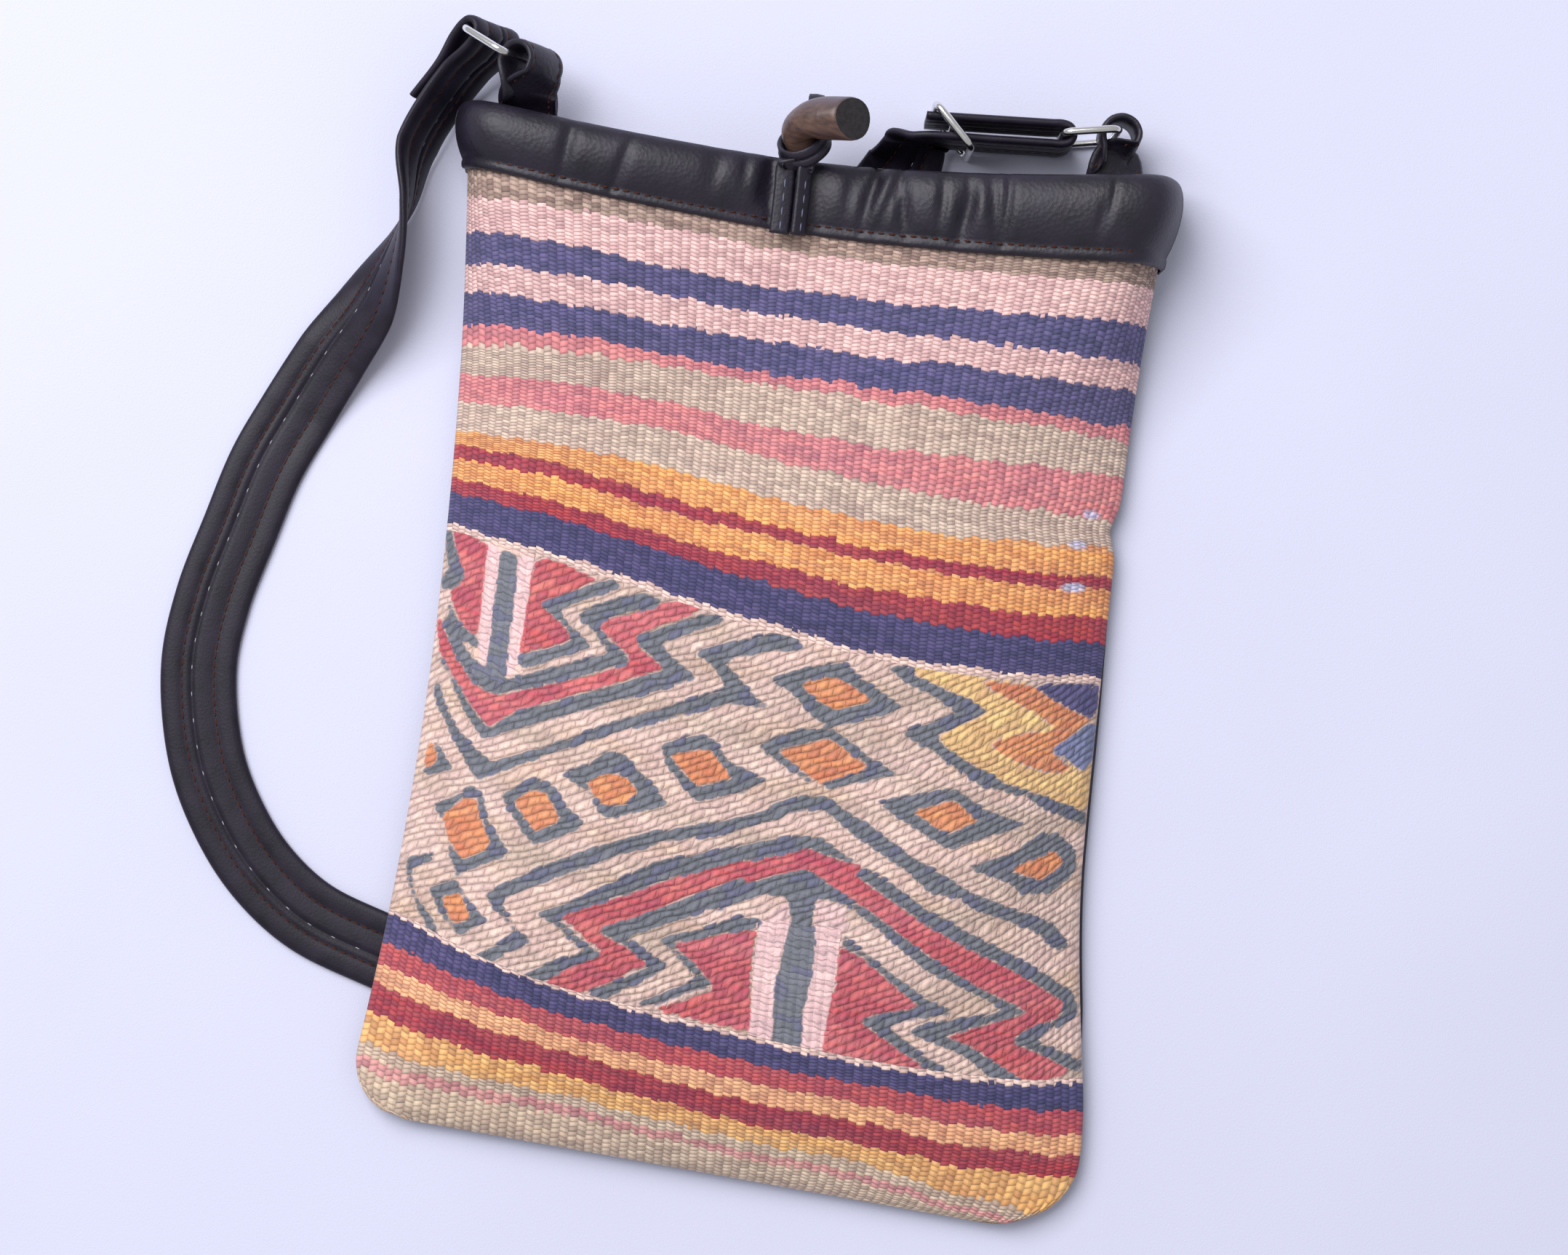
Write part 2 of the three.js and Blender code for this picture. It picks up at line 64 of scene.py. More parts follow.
# Form of the bag in millimetres, as its solids are
MOUTH_WIDTH, WAIST_WIDTH, BASE_WIDTH = 222.0, 207.0, 232.0
MOUTH_Y, WAIST_Y, BASE_Y = 158.0, 5.0, -167.0
CORNER_RADIUS, MOUTH_SAG, BASE_SKEW = 22.0, 8.0, 6.0
KILIM_THICK, BACK_THICK, LINING_THICK, LINING_SLACK = 3.0, 4.6, 1.2, 2.6
BAND_THICK, BAND_SLACK, GAP = 1.4, 0.9, 0.3
BODY_LIFT, MOUTH_LIFT, MOUTH_PINCH, PINCH_SPAN = 19.0, 15.0, 5.0, 0.3
MOUTH_GAPE, MOUTH_RISE, BODY_FULLNESS, MOUTH_FULLNESS = 8.0, 8.0, 4.0, 22.0
FULL_UP_TO_Y, FULL_DOWN_TO_Y = 70.0, -60.0
SEAM_WIDTH, SIDE_INSET = 5.0, 16.0
BAND_HEIGHT, BAND_SLANT, BAND_LAP = 21.0, 7.0, 8.0
PANEL_TOP_Y = MOUTH_Y - BAND_HEIGHT + BAND_LAP
BAND_LOW_Y = MOUTH_Y - BAND_HEIGHT

# Finer shapes that only the scene has: swell, notch and rounder corner of the right side, hems, ribs of
# the brocade, groove over the strap, pouch, stitches of the band
WAIST_SWELL, WAIST_SWELL_SPAN = 3.0, 95.0
BASE_SWELL, BASE_SWELL_FROM, BASE_SWELL_FULL = 5.5, 50.0, 150.0
SOFT_CORNER, SOFT_CORNER_SPAN = 12.0, 48.0
NOTCH_DEEP, NOTCH_Y, NOTCH_SPAN = 2.3, 49.0, 5.5
EDGE_ROLL, EDGE_DROP, TUCK_DROP = 3.2, 2.6, 1.6
BROCADE_LOW, BROCADE_HIGH, BROCADE_RIB = -101.0, 22.0, 0.35
STRAP_GROOVE, GROOVE_INSIDE, GROOVE_OUTSIDE = 3.1, 13.5, 18.0
POUCH_FOOT, POUCH_HEAD, POUCH_INSET = 32.0, 12.0, 1.5
BAND_STITCH_AT, BAND_STITCH_PITCH, BAND_STITCH_REACH = 0.87, 3.3, 104.0

# Strap, rings, tabs and closure in millimetres
STRAP_WIDTH, STRAP_THICK, SEWN_END = 24.0, 2.4, 28.0
STITCH_ROW, STITCH_SEAM = 5.1, 2.0
LEFT_EYE_RUN, RIGHT_EYE_RUN, RIGHT_BEND = 5.0, 4.0, 9.0
WIRE, RING_PITCH, RING_CORNER, RING_HALF = 2.4, 17.0, 3.0, 15.15
SLIDE_PITCH, SLIDE_FROM_RING = 8.4, 34.0
EYE_RADIUS = WIRE / 2 + 0.7 + STRAP_THICK / 2
TAB_WIDTH, TAB_THICK, TAB_X, TAB_BASE_Y, TAB_BASE_Z = 18.0, 2.0, 91.8, 138.0, 17.2
TAB_HOLE_RADIUS, TAB_HOLE_AT, TAB_TWIST_FROM, TAB_EASE = 4.6, 31.5, 20.8, 2.5
TAB_STITCH_INSET = 2.3
LEFT_TAB_TURN, RIGHT_TAB_TURN, LEFT_TAB_CURL = 60.0, 90.0, 11.0
COLLAR_AT, COLLAR_LEAN, COLLAR_WIDTH = (-5.5, 154.5, 31.0), (-0.42, 0.62, 0.66), 6.0
NECK_RADIUS, NECK_BELOW, NECK_ABOVE, COLLAR_CLEAR = 5.1, 3.4, 5.0, 0.8
TOGGLE_ELBOW, TOGGLE_ARM, TOGGLE_END = (-4.7, 160.3, 40.2), (1.0, 161.2, 42.6), (8.8, 161.5, 46.4)
TOGGLE_END_RADIUS, TIE_THICK, TIE_CLEAR, TIE_LIFT = 6.6, 1.8, 0.6, 1.1
# Legs of the tie: offset across, width, turn in degrees, rise over the band
TIE_LEGS = ((-2.5, 6.2, -6, 0.4), (3.3, 5.4, -36, 1.4))
# Sections of a plain leather collar and of one wrapped twice, as shares of its half width and thickness
PLAIN_HOOP = (
    (1, 0.5), (0.92, 0.95), (0, 1.08), (-0.92, 0.95), (-1, 0.5), (-0.92, 0.05), (0, 0), (0.92, 0.05),
    (1, 0.5))
WRAPPED_HOOP = (
    (0.96, 0.7), (0.88, 0.98), (0.5, 1.08), (0, 1.15), (-0.06, 0.95), (-0.14, 1.4), (-0.6, 1.5),
    (-1.02, 1.25), (-1.16, 0.95), (-1.2, 0.5), (-1.12, 0.1), (0, 0), (0.5, 0.02), (0.88, 0.3), (0.96, 0.7))
LOOP_X, LOOP_WIDTH, LOOP_RADIUS, LOOP_AT = -3.0, 5.0, 2.4, (166.6, 26.0)

LEFT_RING = {"near": (-93.1, 170.9, 28.1), "bar": (0.5, 0, -0.8660), "reach": (-0.782, 0.429, -0.4515)}
RIGHT_RING = {"near": (90.6, 170.4, 15.45), "bar": (0, 0, -1), "reach": (-0.985, -0.174, 0)}
LEFT_RUN = (-0.54, -0.783, -0.3118)
RIGHT_RUN, RIGHT_LOWER = (-1, -0.05, 0), (0.05, -1, 0)

# Lay of the strap: x, y, height of the middle, roll of the width in degrees
STRAP_LAY = [
    (-125.5, 143, 13.2, -66), (-126.5, 124, 13.4, -90), (-130, 108, 12.6, -118), (-136, 92, 8.4, -150),
    (-146, 75, 4, -172), (-155, 57, 1.5, -180), (-163, 39, 1.5, -180), (-169, 18, 1.5, -180),
    (-175, -5, 1.5, -180), (-177, -27, 1.5, -180), (-171.5, -55, 1.5, -180), (-162, -74, 1.5, -180),
    (-150, -89, 1.5, -180), (-134, -101, 1.5, -180), (-112, -109, 1.5, -180), (-70, -120, 1.5, -180),
    (-25, -127, 1.5, -180), (20, -125, 1.5, -180), (58, -110, 1.5, -180), (79, -76, 1.5, -180),
    (62, -41, 1.5, -180), (20, -26, 1.5, -180), (-25, -19, 1.5, -180), (-61, 3, 1.5, -180),
    (-77, 40, 1.5, -180), (-68, 82, 1.5, -180), (-42, 112, 1.5, -180), (-4, 125, 1.5, -180),
    (18, 142, 2, -180), (26, 154, 6, -164), (29, 161.6, 12.4, -122),
]

# Upper border of each woven stripe from the mouth down, in millimetres on the face of the bag
STRIPES = [
    ("taupe", [(-117, 137.5), (-57.5, 132), (-8.5, 128), (40.5, 126), (108.5, 127.5)]),
    ("blush", [(-111, 127), (-57, 124.5), (-7.5, 120.5), (41, 120.5), (107, 123)]),
    ("navy", [(-110, 117), (-70.5, 114.5), (-43, 112), (-16, 109), (15.5, 108.5), (42.5, 109),
        (67, 109.5), (108, 111.5)]),
    ("blush", [(-109, 107.5), (-69.5, 106), (-42.5, 103.5), (-15, 101.5), (16.5, 100), (43.5, 100.5),
        (68, 100), (108, 100)]),
    ("navy", [(-108, 99), (-68.5, 96.5), (-41, 94), (-14, 92.5), (17.5, 91.5), (44.5, 92), (76, 91),
        (108, 91.5)]),
    ("coral", [(-107, 89), (-67.5, 88), (-40, 85), (-13, 83), (18.5, 82), (45.5, 82), (77.5, 80.5),
        (107, 80)]),
    ("sand", [(-106, 82), (-66.5, 82), (-40, 81.5), (-12.5, 79.5), (19, 78), (46, 78), (78, 76.5),
        (106, 75.5)]),
    ("coral", [(-104.5, 74), (-65.5, 73.5), (-38.5, 71.5), (-11.5, 67.5), (20.5, 64.5), (47.5, 65),
        (79.5, 64.5), (105, 65)]),
    ("sand", [(-103.5, 64.5), (-64.5, 63.5), (-37.5, 62.5), (-10, 57.5), (22, 53), (49, 50.5), (81, 50),
        (103, 49.5)]),
    ("gold", [(-102.5, 56), (-63.5, 53.5), (-36.5, 51.5), (-9, 46), (23.5, 42), (50.5, 39.5), (82, 41.5),
        (102.5, 42)]),
    ("wine", [(-102, 52), (-62.5, 47.5), (-35.5, 42), (-8, 37.5), (24, 34), (51.5, 32), (83, 31.5),
        (102.5, 32.5)]),
    ("gold", [(-101.5, 47), (-62, 42), (-34.5, 37.5), (-7.5, 33.5), (24.5, 30), (52, 27.5), (83.5, 27.5),
        (103, 28.5)]),
    ("wine", [(-101.5, 41), (-61.5, 35.5), (-34, 29.5), (-6.5, 25.5), (25.5, 21.5), (52.5, 19.5),
        (84.5, 19), (102.5, 20)]),
    ("indigo", [(-101, 36), (-60.5, 30), (-33, 24), (-6, 19), (26.5, 13.5), (53.5, 10.5), (85.5, 10.5),
        (102.5, 11)]),
    ("cream", [(-101, 27), (-82, 23), (-59.5, 19.5), (-32, 13.5), (-4.5, 7.5), (28, 2.5), (55, 0),
        (86.5, 0.5), (103, 2)]),
    ("motif", [(-101, 25), (-81.5, 21.5), (-59.5, 17.5), (-32, 11.5), (-4.5, 5.5), (28, 0.5), (55, -2),
        (87, -1.5), (103, 0)]),
    ("cream", [(-105, -95), (-89.5, -101.5), (-67, -108.5), (-44.5, -113), (-14.5, -117), (20, -121.5),
        (57, -124.5), (93.5, -125.5), (115.5, -123.5)]),
    ("indigo", [(-105.5, -96.5), (-89.5, -103.5), (-66.5, -110), (-44, -114.5), (-14.5, -119),
        (20, -123.5), (57, -127), (94, -128), (115.5, -126)]),
    ("rose", [(-107, -105.5), (-88.5, -111.5), (-66, -117.5), (-43.5, -121.5), (-13.5, -126.5),
        (21, -130), (58, -132.5), (94.5, -135), (116.5, -134.5)]),
    ("peach", [(-108, -112), (-77.5, -121), (-43, -127.5), (-3, -133.5), (46, -138), (95.5, -142.5),
        (117.5, -141.5)]),
    ("wine", [(-109.5, -119.5), (-77, -127.5), (-42, -134), (-2, -140.5), (47, -145), (96.5, -150),
        (117, -149)]),
    ("honey", [(-110.5, -128), (-76, -135), (-41.5, -140.5), (-1.5, -147), (48, -151.5), (97, -156),
        (116.5, -154.5)]),
    ("flax", [(-111, -138.5), (-75, -143.5), (-40.5, -146.5), (-1, -153), (48.5, -157), (85.5, -165),
        (110, -170)]),
    ("blushdeep", [(-111.5, -142), (-75, -146.5), (-40.5, -149.5), (-0.5, -156.5), (49, -160.5),
        (86, -168.5), (108, -172)]),
    ("flax", [(-111.5, -147.6), (-74.5, -151), (-40, -154), (0, -159.5), (49, -164), (84, -171),
        (103.5, -173)]),
]

# Fields of the brocaded band, each laid over those before it
MOTIFS = [
    ("grey", [(-84, -51), (-59.5, -39.5), (-40.5, -31), (-23.5, -24), (-8, -19), (3.5, -18.5),
        (-2, -15.5), (-7.5, -9.5), (-12.5, -6), (-2.5, -2.5), (12, 0.5), (9, 4.5), (3, 4.5), (-4, 2),
        (-14, -1.5), (-21, -4), (-14.5, -8.5), (-9.5, -14.5), (-15.5, -16.5), (-28, -22), (-43, -28.5),
        (-61.5, -37.5), (-80, -45.5), (-85.5, -42), (-91.5, -37), (-97.5, -29.5), (-100.5, -21.5),
        (-101.5, -22.5), (-101, -26.5), (-99, -31), (-94, -38.5), (-88, -47)]),
    ("grey", [(-83.5, -38.5), (-68.5, -32.5), (-47, -23.5), (-28.5, -16.5), (-19.5, -12), (-27.5, -7),
        (-32, -3), (-22.5, 2), (-13.5, 5.5), (-13, 7.5), (-19, 8), (-30, 3), (-40, -1.5), (-37.5, -5),
        (-29, -10.5), (-47.5, -18.5), (-74, -29), (-82, -35.5), (-87.5, -29), (-93.5, -21.5), (-100, -12),
        (-101, -15.5), (-96.5, -21), (-92.5, -28), (-87.5, -35)]),
    ("red", [(-82.5, -35), (-74, -28.5), (-47.5, -18), (-29, -10.5), (-38, -5), (-40, -1.5), (-30, 3.5),
        (-19, 9), (-25.5, 10.5), (-32.5, 10.5), (-36, 7.5), (-47.5, 3.5), (-53, 1.5), (-48, -3),
        (-41.5, -7.5), (-40.5, -10), (-57.5, -17), (-80.5, -24.5), (-85, -23.5), (-89.5, -21),
        (-95, -14.5), (-100.5, -4.5), (-103.5, -2.5), (-101, -13.5), (-96, -20), (-90, -27.5),
        (-86, -32)]),
    ("grey", [(-80.5, -24.5), (-57.5, -16.5), (-40.5, -10), (-42, -7.5), (-47, -4.5), (-53, 1),
        (-43, 5.5), (-34.5, 8), (-32.5, 10.5), (-39.5, 12), (-47.5, 9), (-56, 5), (-58.5, 2.5),
        (-52.5, -1.5), (-47.5, -7.5), (-58, -11.5), (-70.5, -16.5), (-79.5, -20), (-85, -17.5),
        (-88.5, -15.5), (-93.5, -10.5), (-98.5, -3.5), (-100.5, -1.5), (-101, -5), (-95, -14.5),
        (-89.5, -21), (-85, -23.5)]),
    ("cream", [(-99, -1.5), (-94, -9), (-88.5, -13), (-85, -17.5), (-79.5, -20), (-70.5, -16.5),
        (-58, -11.5), (-48, -8), (-53, -1.5), (-58.5, 2.5), (-56, 5.5), (-47.5, 9.5), (-41, 12),
        (-45.5, 13.5), (-52.5, 10), (-61, 6), (-65, 4), (-59, -1.5), (-53, -6), (-61.5, -10),
        (-70.5, -14), (-76, -14.5), (-85.5, -10.5)]),
    ("grey", [(-100.5, 4), (-96, -3.5), (-89, -7.5), (-88.5, -11.5), (-95, -7.5), (-99, -1.5)]),
    ("grey", [(-75.5, -11.5), (-74.5, -15), (-70.5, -14.5), (-61.5, -10), (-52.5, -6.5), (-59, -1.5),
        (-64.5, 4), (-60, 6.5), (-52.5, 10), (-45.5, 13), (-48, 15), (-53, 14), (-60.5, 10), (-70.5, 5),
        (-64.5, 1), (-59, -4), (-60.5, -6), (-67.5, -9)]),
    ("red", [(-74, 19), (-66.5, 18.5), (-59.5, 16.5), (-53, 14.5), (-60.5, 10), (-70.5, 5), (-64.5, 1),
        (-59, -4), (-60.5, -6), (-67.5, -8.5), (-75.5, -11.5), (-75, -4), (-74.5, 5.5)]),
    ("red", [(-103.5, 27), (-97, 25), (-89.5, 21.5), (-89, 10.5), (-89, 0), (-89, -8), (-94, -5),
        (-98, 1), (-100, 6), (-96, 10.5), (-98.5, 14.5), (-101.5, 21)]),
    ("grey", [(-104.5, 26.5), (-102, 26), (-100, 20.5), (-98, 15), (-95.5, 11.5), (-96, 9.5), (-99.5, 6),
        (-103, 6.5), (-103.5, 9.5), (-100.5, 12.5), (-102.5, 17)]),
    ("pink", [(-89.5, 22), (-84.5, 20.5), (-84.5, 12.5), (-84.5, -1.5), (-84, -18), (-85.5, -17.5),
        (-88.5, -10.5), (-88.5, 2.5), (-89, 14.5)]),
    ("grey", [(-84.5, 20), (-79, 19), (-79, 9), (-79.5, -3), (-79, -22), (-84.5, -22.5), (-84.5, -13.5),
        (-84.5, 2.5)]),
    ("pink", [(-79, 19.5), (-73.5, 19), (-74.5, 8), (-74.5, -4), (-75.5, -12.5), (-76, -15.5), (-79, -20),
        (-79.5, -3), (-79, 9)]),
    ("grey", [(-99, -41), (-92, -49), (-97, -51.5), (-102, -52.5), (-101, -47)]),
    ("amber", [(-101, -41), (-97.5, -44.5), (-98, -49), (-102, -50.5)]),
    ("grey", [(-57.5, -46), (-49.5, -42.5), (-44.5, -37.5), (-40, -37.5), (-36, -41), (-29, -46.5),
        (-24, -52), (-32, -54.5), (-40, -58), (-44.5, -57), (-47.5, -52)]),
    ("amber", [(-50, -48), (-44, -44), (-37.5, -44.5), (-33, -49), (-36.5, -53.5), (-44, -55)]),
    ("grey", [(-28.5, -34.5), (-22, -31), (-16.5, -29.5), (-11.5, -31), (-6.5, -37), (6, -41.5),
        (-2.5, -46), (-15.5, -50), (-20, -46), (-25.5, -40)]),
    ("amber", [(-26, -36.5), (-13, -33), (-4.5, -41.5), (-16, -45.5)]),
    ("grey", [(-97.5, -61), (-90.5, -57.5), (-86, -53.5), (-82, -55.5), (-79, -63.5), (-71.5, -73),
        (-79.5, -77.5), (-87, -81.5), (-90, -75.5), (-93, -66.5)]),
    ("amber", [(-94, -64), (-86.5, -56.5), (-83, -57.5), (-81, -63.5), (-76.5, -71.5), (-86, -77),
        (-91, -71)]),
    ("grey", [(-76, -55.5), (-69.5, -50.5), (-65, -48.5), (-59, -51), (-55.5, -56), (-48.5, -61),
        (-58, -66.5), (-64, -69), (-69, -64)]),
    ("amber", [(-72, -56.5), (-66, -52), (-62, -52), (-59.5, -55.5), (-56, -60.5), (-64, -65.5)]),
    ("grey", [(-96, -87), (-87, -82.5), (-83, -88.5), (-75, -95), (-82, -98.5), (-84, -100), (-89, -96)]),
    ("amber", [(-91.5, -89), (-85.5, -86.5), (-80.5, -94), (-85.5, -97), (-89, -93.5)]),
    ("grey", [(2, -10.5), (14, -5), (25, -2), (29, -5.5), (39, -11), (45.5, -14.5), (37, -17.5),
        (23, -22.5), (17.5, -20), (11, -13.5), (7.5, -12)]),
    ("amber", [(12, -10.5), (19, -7), (25.5, -7.5), (36, -13), (24, -17.5), (18, -15)]),
    ("grey", [(2, -30), (13.5, -24.5), (24, -23), (29, -26), (37, -31), (46, -35), (40.5, -36),
        (25.5, -41.5), (18.5, -40), (12, -37), (4.5, -33)]),
    ("amber", [(7, -31.5), (23.5, -26), (38, -34), (22, -40.5), (15, -36.5)]),
    ("grey", [(40, -44), (53, -40), (64, -37), (69, -40), (73.5, -43), (87, -46), (77.5, -50), (64, -56),
        (57, -53), (47.5, -48)]),
    ("amber", [(50.5, -45.5), (64, -40.5), (73, -46.5), (63, -51.5), (58, -49.5)]),
    ("grey", [(69, -61), (84.5, -55), (92.5, -48.5), (98.5, -48), (105, -54), (104.5, -60), (98, -66.5),
        (88, -67.5), (83, -64), (75.5, -62.5)]),
    ("amber", [(82.5, -60.5), (97, -53), (101.5, -57), (94, -63.5)]),
    ("grey", [(-104, -79), (-95.5, -76), (-95, -78.5), (-101.5, -81), (-102, -84), (-99, -90),
        (-94, -95.5), (-90.5, -100.5), (-92.5, -101.5), (-98, -94.5), (-103, -85.5)]),
    ("grey", [(36.5, -2), (46.5, -1), (47.5, -4), (56, -6.5), (63, -9), (71.5, -12.5), (63.5, -17),
        (56, -21.5), (60, -25.5), (71, -30.5), (79, -33.5), (92.5, -37), (106, -40), (107, -45),
        (98.5, -42.5), (86, -37.5), (72.5, -35.5), (64, -31.5), (56, -26.5), (44, -22), (50.5, -19),
        (62, -13.5), (53.5, -9.5), (45, -6)]),
    ("yellow", [(46, -1.5), (55, -0.5), (66, -1.5), (84, -2), (104, -1.5), (106, -14.5), (107.5, -38.5),
        (105, -40.5), (92.5, -37), (79, -34), (71, -30.5), (60, -25.5), (56, -22), (63.5, -17),
        (71.5, -12.5), (63, -9), (55.5, -6.5), (47.5, -4)]),
    ("amber", [(65.5, -2.5), (84, -2.5), (96, -7), (104.5, -10), (103.5, -15), (96.5, -19), (92, -22.5),
        (99.5, -27), (103.5, -28.5), (91.5, -29.5), (78, -26), (72.5, -22.5), (78.5, -19), (93.5, -15.5),
        (84, -10.5), (72, -6)]),
    ("navy", [(84, -3), (95, -1), (105.5, -0.5), (106.5, -9.5), (103, -11), (95, -8)]),
    ("steel", [(103.5, -12.5), (107, -12.5), (107, -22.5), (104, -28), (99, -25), (92, -22.5),
        (96.5, -19)]),
    ("grey", [(17, -44.5), (23.5, -44), (32, -48), (40.5, -52.5), (50, -58), (59.5, -63.5), (68.5, -70),
        (60.5, -70.5), (49, -62.5), (38.5, -56), (30, -51.5), (22.5, -47.5), (8, -52.5), (7, -49)]),
    ("grey", [(27, -49.5), (40, -54), (57, -61.5), (73, -69), (88, -73), (99.5, -76), (105.5, -82),
        (105.5, -84), (101, -83.5), (92.5, -78), (76.5, -74.5), (62, -67.5), (47, -61.5), (34, -54.5)]),
    ("grey", [(12, -48.5), (-8, -55.5), (-28.5, -61), (-43.5, -67), (-60.5, -75.5), (-77.5, -86),
        (-72.5, -91.5), (-66.5, -96), (-70.5, -100.5), (-79.5, -106.5), (-76, -108.5), (-68.5, -103.5),
        (-60.5, -98.5), (-66, -95.5), (-71, -89.5), (-72, -87.5), (-57, -78.5), (-40, -70.5),
        (-24, -63.5), (-7.5, -59.5), (12.5, -52)]),
    ("grey", [(13, -58), (-7, -64), (-26, -70), (-36.5, -77), (-50, -85), (-61, -90), (-55, -92.5),
        (-50, -96), (-44, -100), (-55.5, -105), (-63.5, -110.5), (-57, -111.5), (-49, -105.5),
        (-38, -100.5), (-45.5, -97), (-50.5, -93), (-54.5, -90), (-43.5, -85), (-32.5, -80.5), (-20, -74),
        (-6.5, -69), (13.5, -63)]),
    ("grey", [(-8.5, -65), (10, -59.5), (17, -56.5), (24.5, -57), (34.5, -62.5), (41, -65.5), (48, -68.5),
        (57, -74.5), (72, -80.5), (84, -85.5), (99, -92), (108, -97), (110.5, -102.5), (109.5, -105.5),
        (100, -110), (98, -113), (106, -115.5), (115, -119), (111, -122), (101, -118), (89.5, -113.5),
        (97.5, -107.5), (107, -100.5), (88.5, -91.5), (74, -86), (59, -79.5), (46, -72.5), (36, -67),
        (39, -64.5), (20.5, -60.5), (10, -64.5), (-8, -69.5)]),
    ("red", [(1, -66), (-6.5, -69), (-20, -74), (-32.5, -80.5), (-43.5, -85), (-54.5, -90), (-49, -92.5),
        (-44.5, -96), (-38, -100), (-49, -105.5), (-56.5, -111), (-46.5, -113.5), (-41.5, -111.5),
        (-33.5, -107.5), (-29, -104), (-23.5, -102), (-31.5, -97), (-41.5, -93), (-28, -87), (-13, -78.5),
        (1.5, -71.5)]),
    ("red", [(-8, -69.5), (10, -64), (20.5, -60), (25, -61.5), (39, -64.5), (36, -67), (46, -72.5),
        (59, -79.5), (74, -86), (88.5, -91.5), (107, -100.5), (104.5, -105.5), (94, -110), (90, -113.5),
        (101, -117), (111, -121.5), (99.5, -126.5), (90, -123), (78, -116.5), (68.5, -114), (78.5, -110),
        (94, -104), (77, -97.5), (68.5, -94), (56, -86.5), (43, -79), (31, -72.5), (21, -67.5),
        (11.5, -70), (-7, -77.5)]),
    ("grey", [(1.5, -71.5), (-13, -79), (-28, -87), (-41.5, -93), (-31.5, -97), (-23.5, -102),
        (-33, -107.5), (-43.5, -113), (-37, -114.5), (-30, -109.5), (-17.5, -101.5), (-26.5, -97),
        (-32.5, -94), (-12.5, -85), (2, -77)]),
    ("grey", [(-7, -77.5), (11.5, -70), (21, -67), (31, -72.5), (43, -78.5), (56, -86.5), (68.5, -93.5),
        (77, -97.5), (94.5, -104), (78.5, -110), (68.5, -114), (78, -116.5), (90, -123), (96, -126),
        (87, -126.5), (76.5, -119.5), (65, -115.5), (57.5, -114), (61.5, -111), (81.5, -106), (88, -104),
        (73, -98), (61, -94), (50, -86), (39.5, -79.5), (34, -76), (24.5, -75), (24.5, -82.5),
        (26.5, -93), (26, -105.5), (24, -110.5), (25, -122), (16, -122), (15.5, -105.5), (16.5, -94.5),
        (18, -83), (16, -76.5), (8, -76), (-6.5, -83)]),
    ("grey", [(9, -84.5), (1.5, -83.5), (-8, -88.5), (-22.5, -93.5), (-17, -97.5), (-11.5, -102),
        (-8.5, -104.5), (-17.5, -109.5), (-28, -114), (-23, -115), (-13.5, -110), (-3, -106),
        (-10.5, -100), (-18.5, -94.5), (-4, -90), (7.5, -86.5)]),
    ("red", [(7.5, -87), (7.5, -95.5), (7.5, -103.5), (9, -119), (-5, -117.5), (-21, -115.5), (-3, -107),
        (-10.5, -100), (-18.5, -94.5), (-4, -90)]),
    ("grey", [(34.5, -86), (42.5, -91), (51, -96.5), (62, -103), (73, -106), (58.5, -109), (51.5, -112.5),
        (60, -118.5), (73.5, -126), (67, -126), (53.5, -118.5), (42, -111.5), (47, -109), (61, -105.5),
        (49.5, -98.5), (41, -92.5), (34, -89)]),
    ("red", [(34, -89), (41, -92), (49.5, -98), (61, -105.5), (47, -109.5), (42, -111.5), (53.5, -118),
        (67, -125.5), (53, -125.5), (32.5, -124), (32, -114.5), (33.5, -103.5), (34, -95.5)]),
    ("pink", [(9, -85), (16, -76.5), (18, -84), (16, -94.5), (15.5, -105.5), (16.5, -122), (8.5, -120.5),
        (9, -106), (7.5, -94.5)]),
    ("pink", [(24.5, -75.5), (33.5, -77.5), (35.5, -83), (33, -88), (33.5, -97), (32.5, -108),
        (32.5, -122.5), (25, -121.5), (25, -109), (26, -96.5), (25.5, -84.5)]),
]

# Dyes as they look in daylight
DYES = {
    "taupe": (0.68, 0.58, 0.535), "blush": (0.92, 0.75, 0.74), "navy": (0.385, 0.37, 0.53),
    "coral": (0.86, 0.54, 0.56), "sand": (0.83, 0.732, 0.672), "gold": (0.94, 0.65, 0.42),
    "wine": (0.68, 0.28, 0.335), "cream": (0.92, 0.79, 0.75), "peach": (0.93, 0.68, 0.52),
    "blushdeep": (0.86, 0.61, 0.60), "grey": (0.485, 0.495, 0.53), "red": (0.79, 0.385, 0.425),
    "amber": (0.89, 0.58, 0.42), "yellow": (0.94, 0.77, 0.54), "steel": (0.52, 0.54, 0.68),
    "pink": (0.91, 0.76, 0.76), "straw": (0.91, 0.785, 0.665), "stone": (0.79, 0.695, 0.635),
    "rose": (0.75, 0.35, 0.39), "honey": (0.93, 0.70, 0.46), "flax": (0.84, 0.74, 0.655),
    "slate": (0.37, 0.38, 0.49), "coralred": (0.86, 0.48, 0.50), "indigo": (0.335, 0.32, 0.48),
    "lilac": (0.80, 0.79, 0.90),
}
BROCADE = ("pink", "red", "amber", "yellow", "navy", "steel", "grey")
# Upright bars, whose stitches lie level: least and greatest x, then y, in millimetres on the face
BARS = ((-89.5, -73.8, -20.0, 24.0), (7.8, 33.6, -124.0, -84.0))
# Places where pale threads have come loose, in millimetres on the face, and how short their spots are
FRAYED = ((96.9, 52.2), (93.7, 42.2), (94.7, 29.1), (92.6, 28.6))
FRAY_ACROSS, FRAY_ALONG = 0.38, 0.76

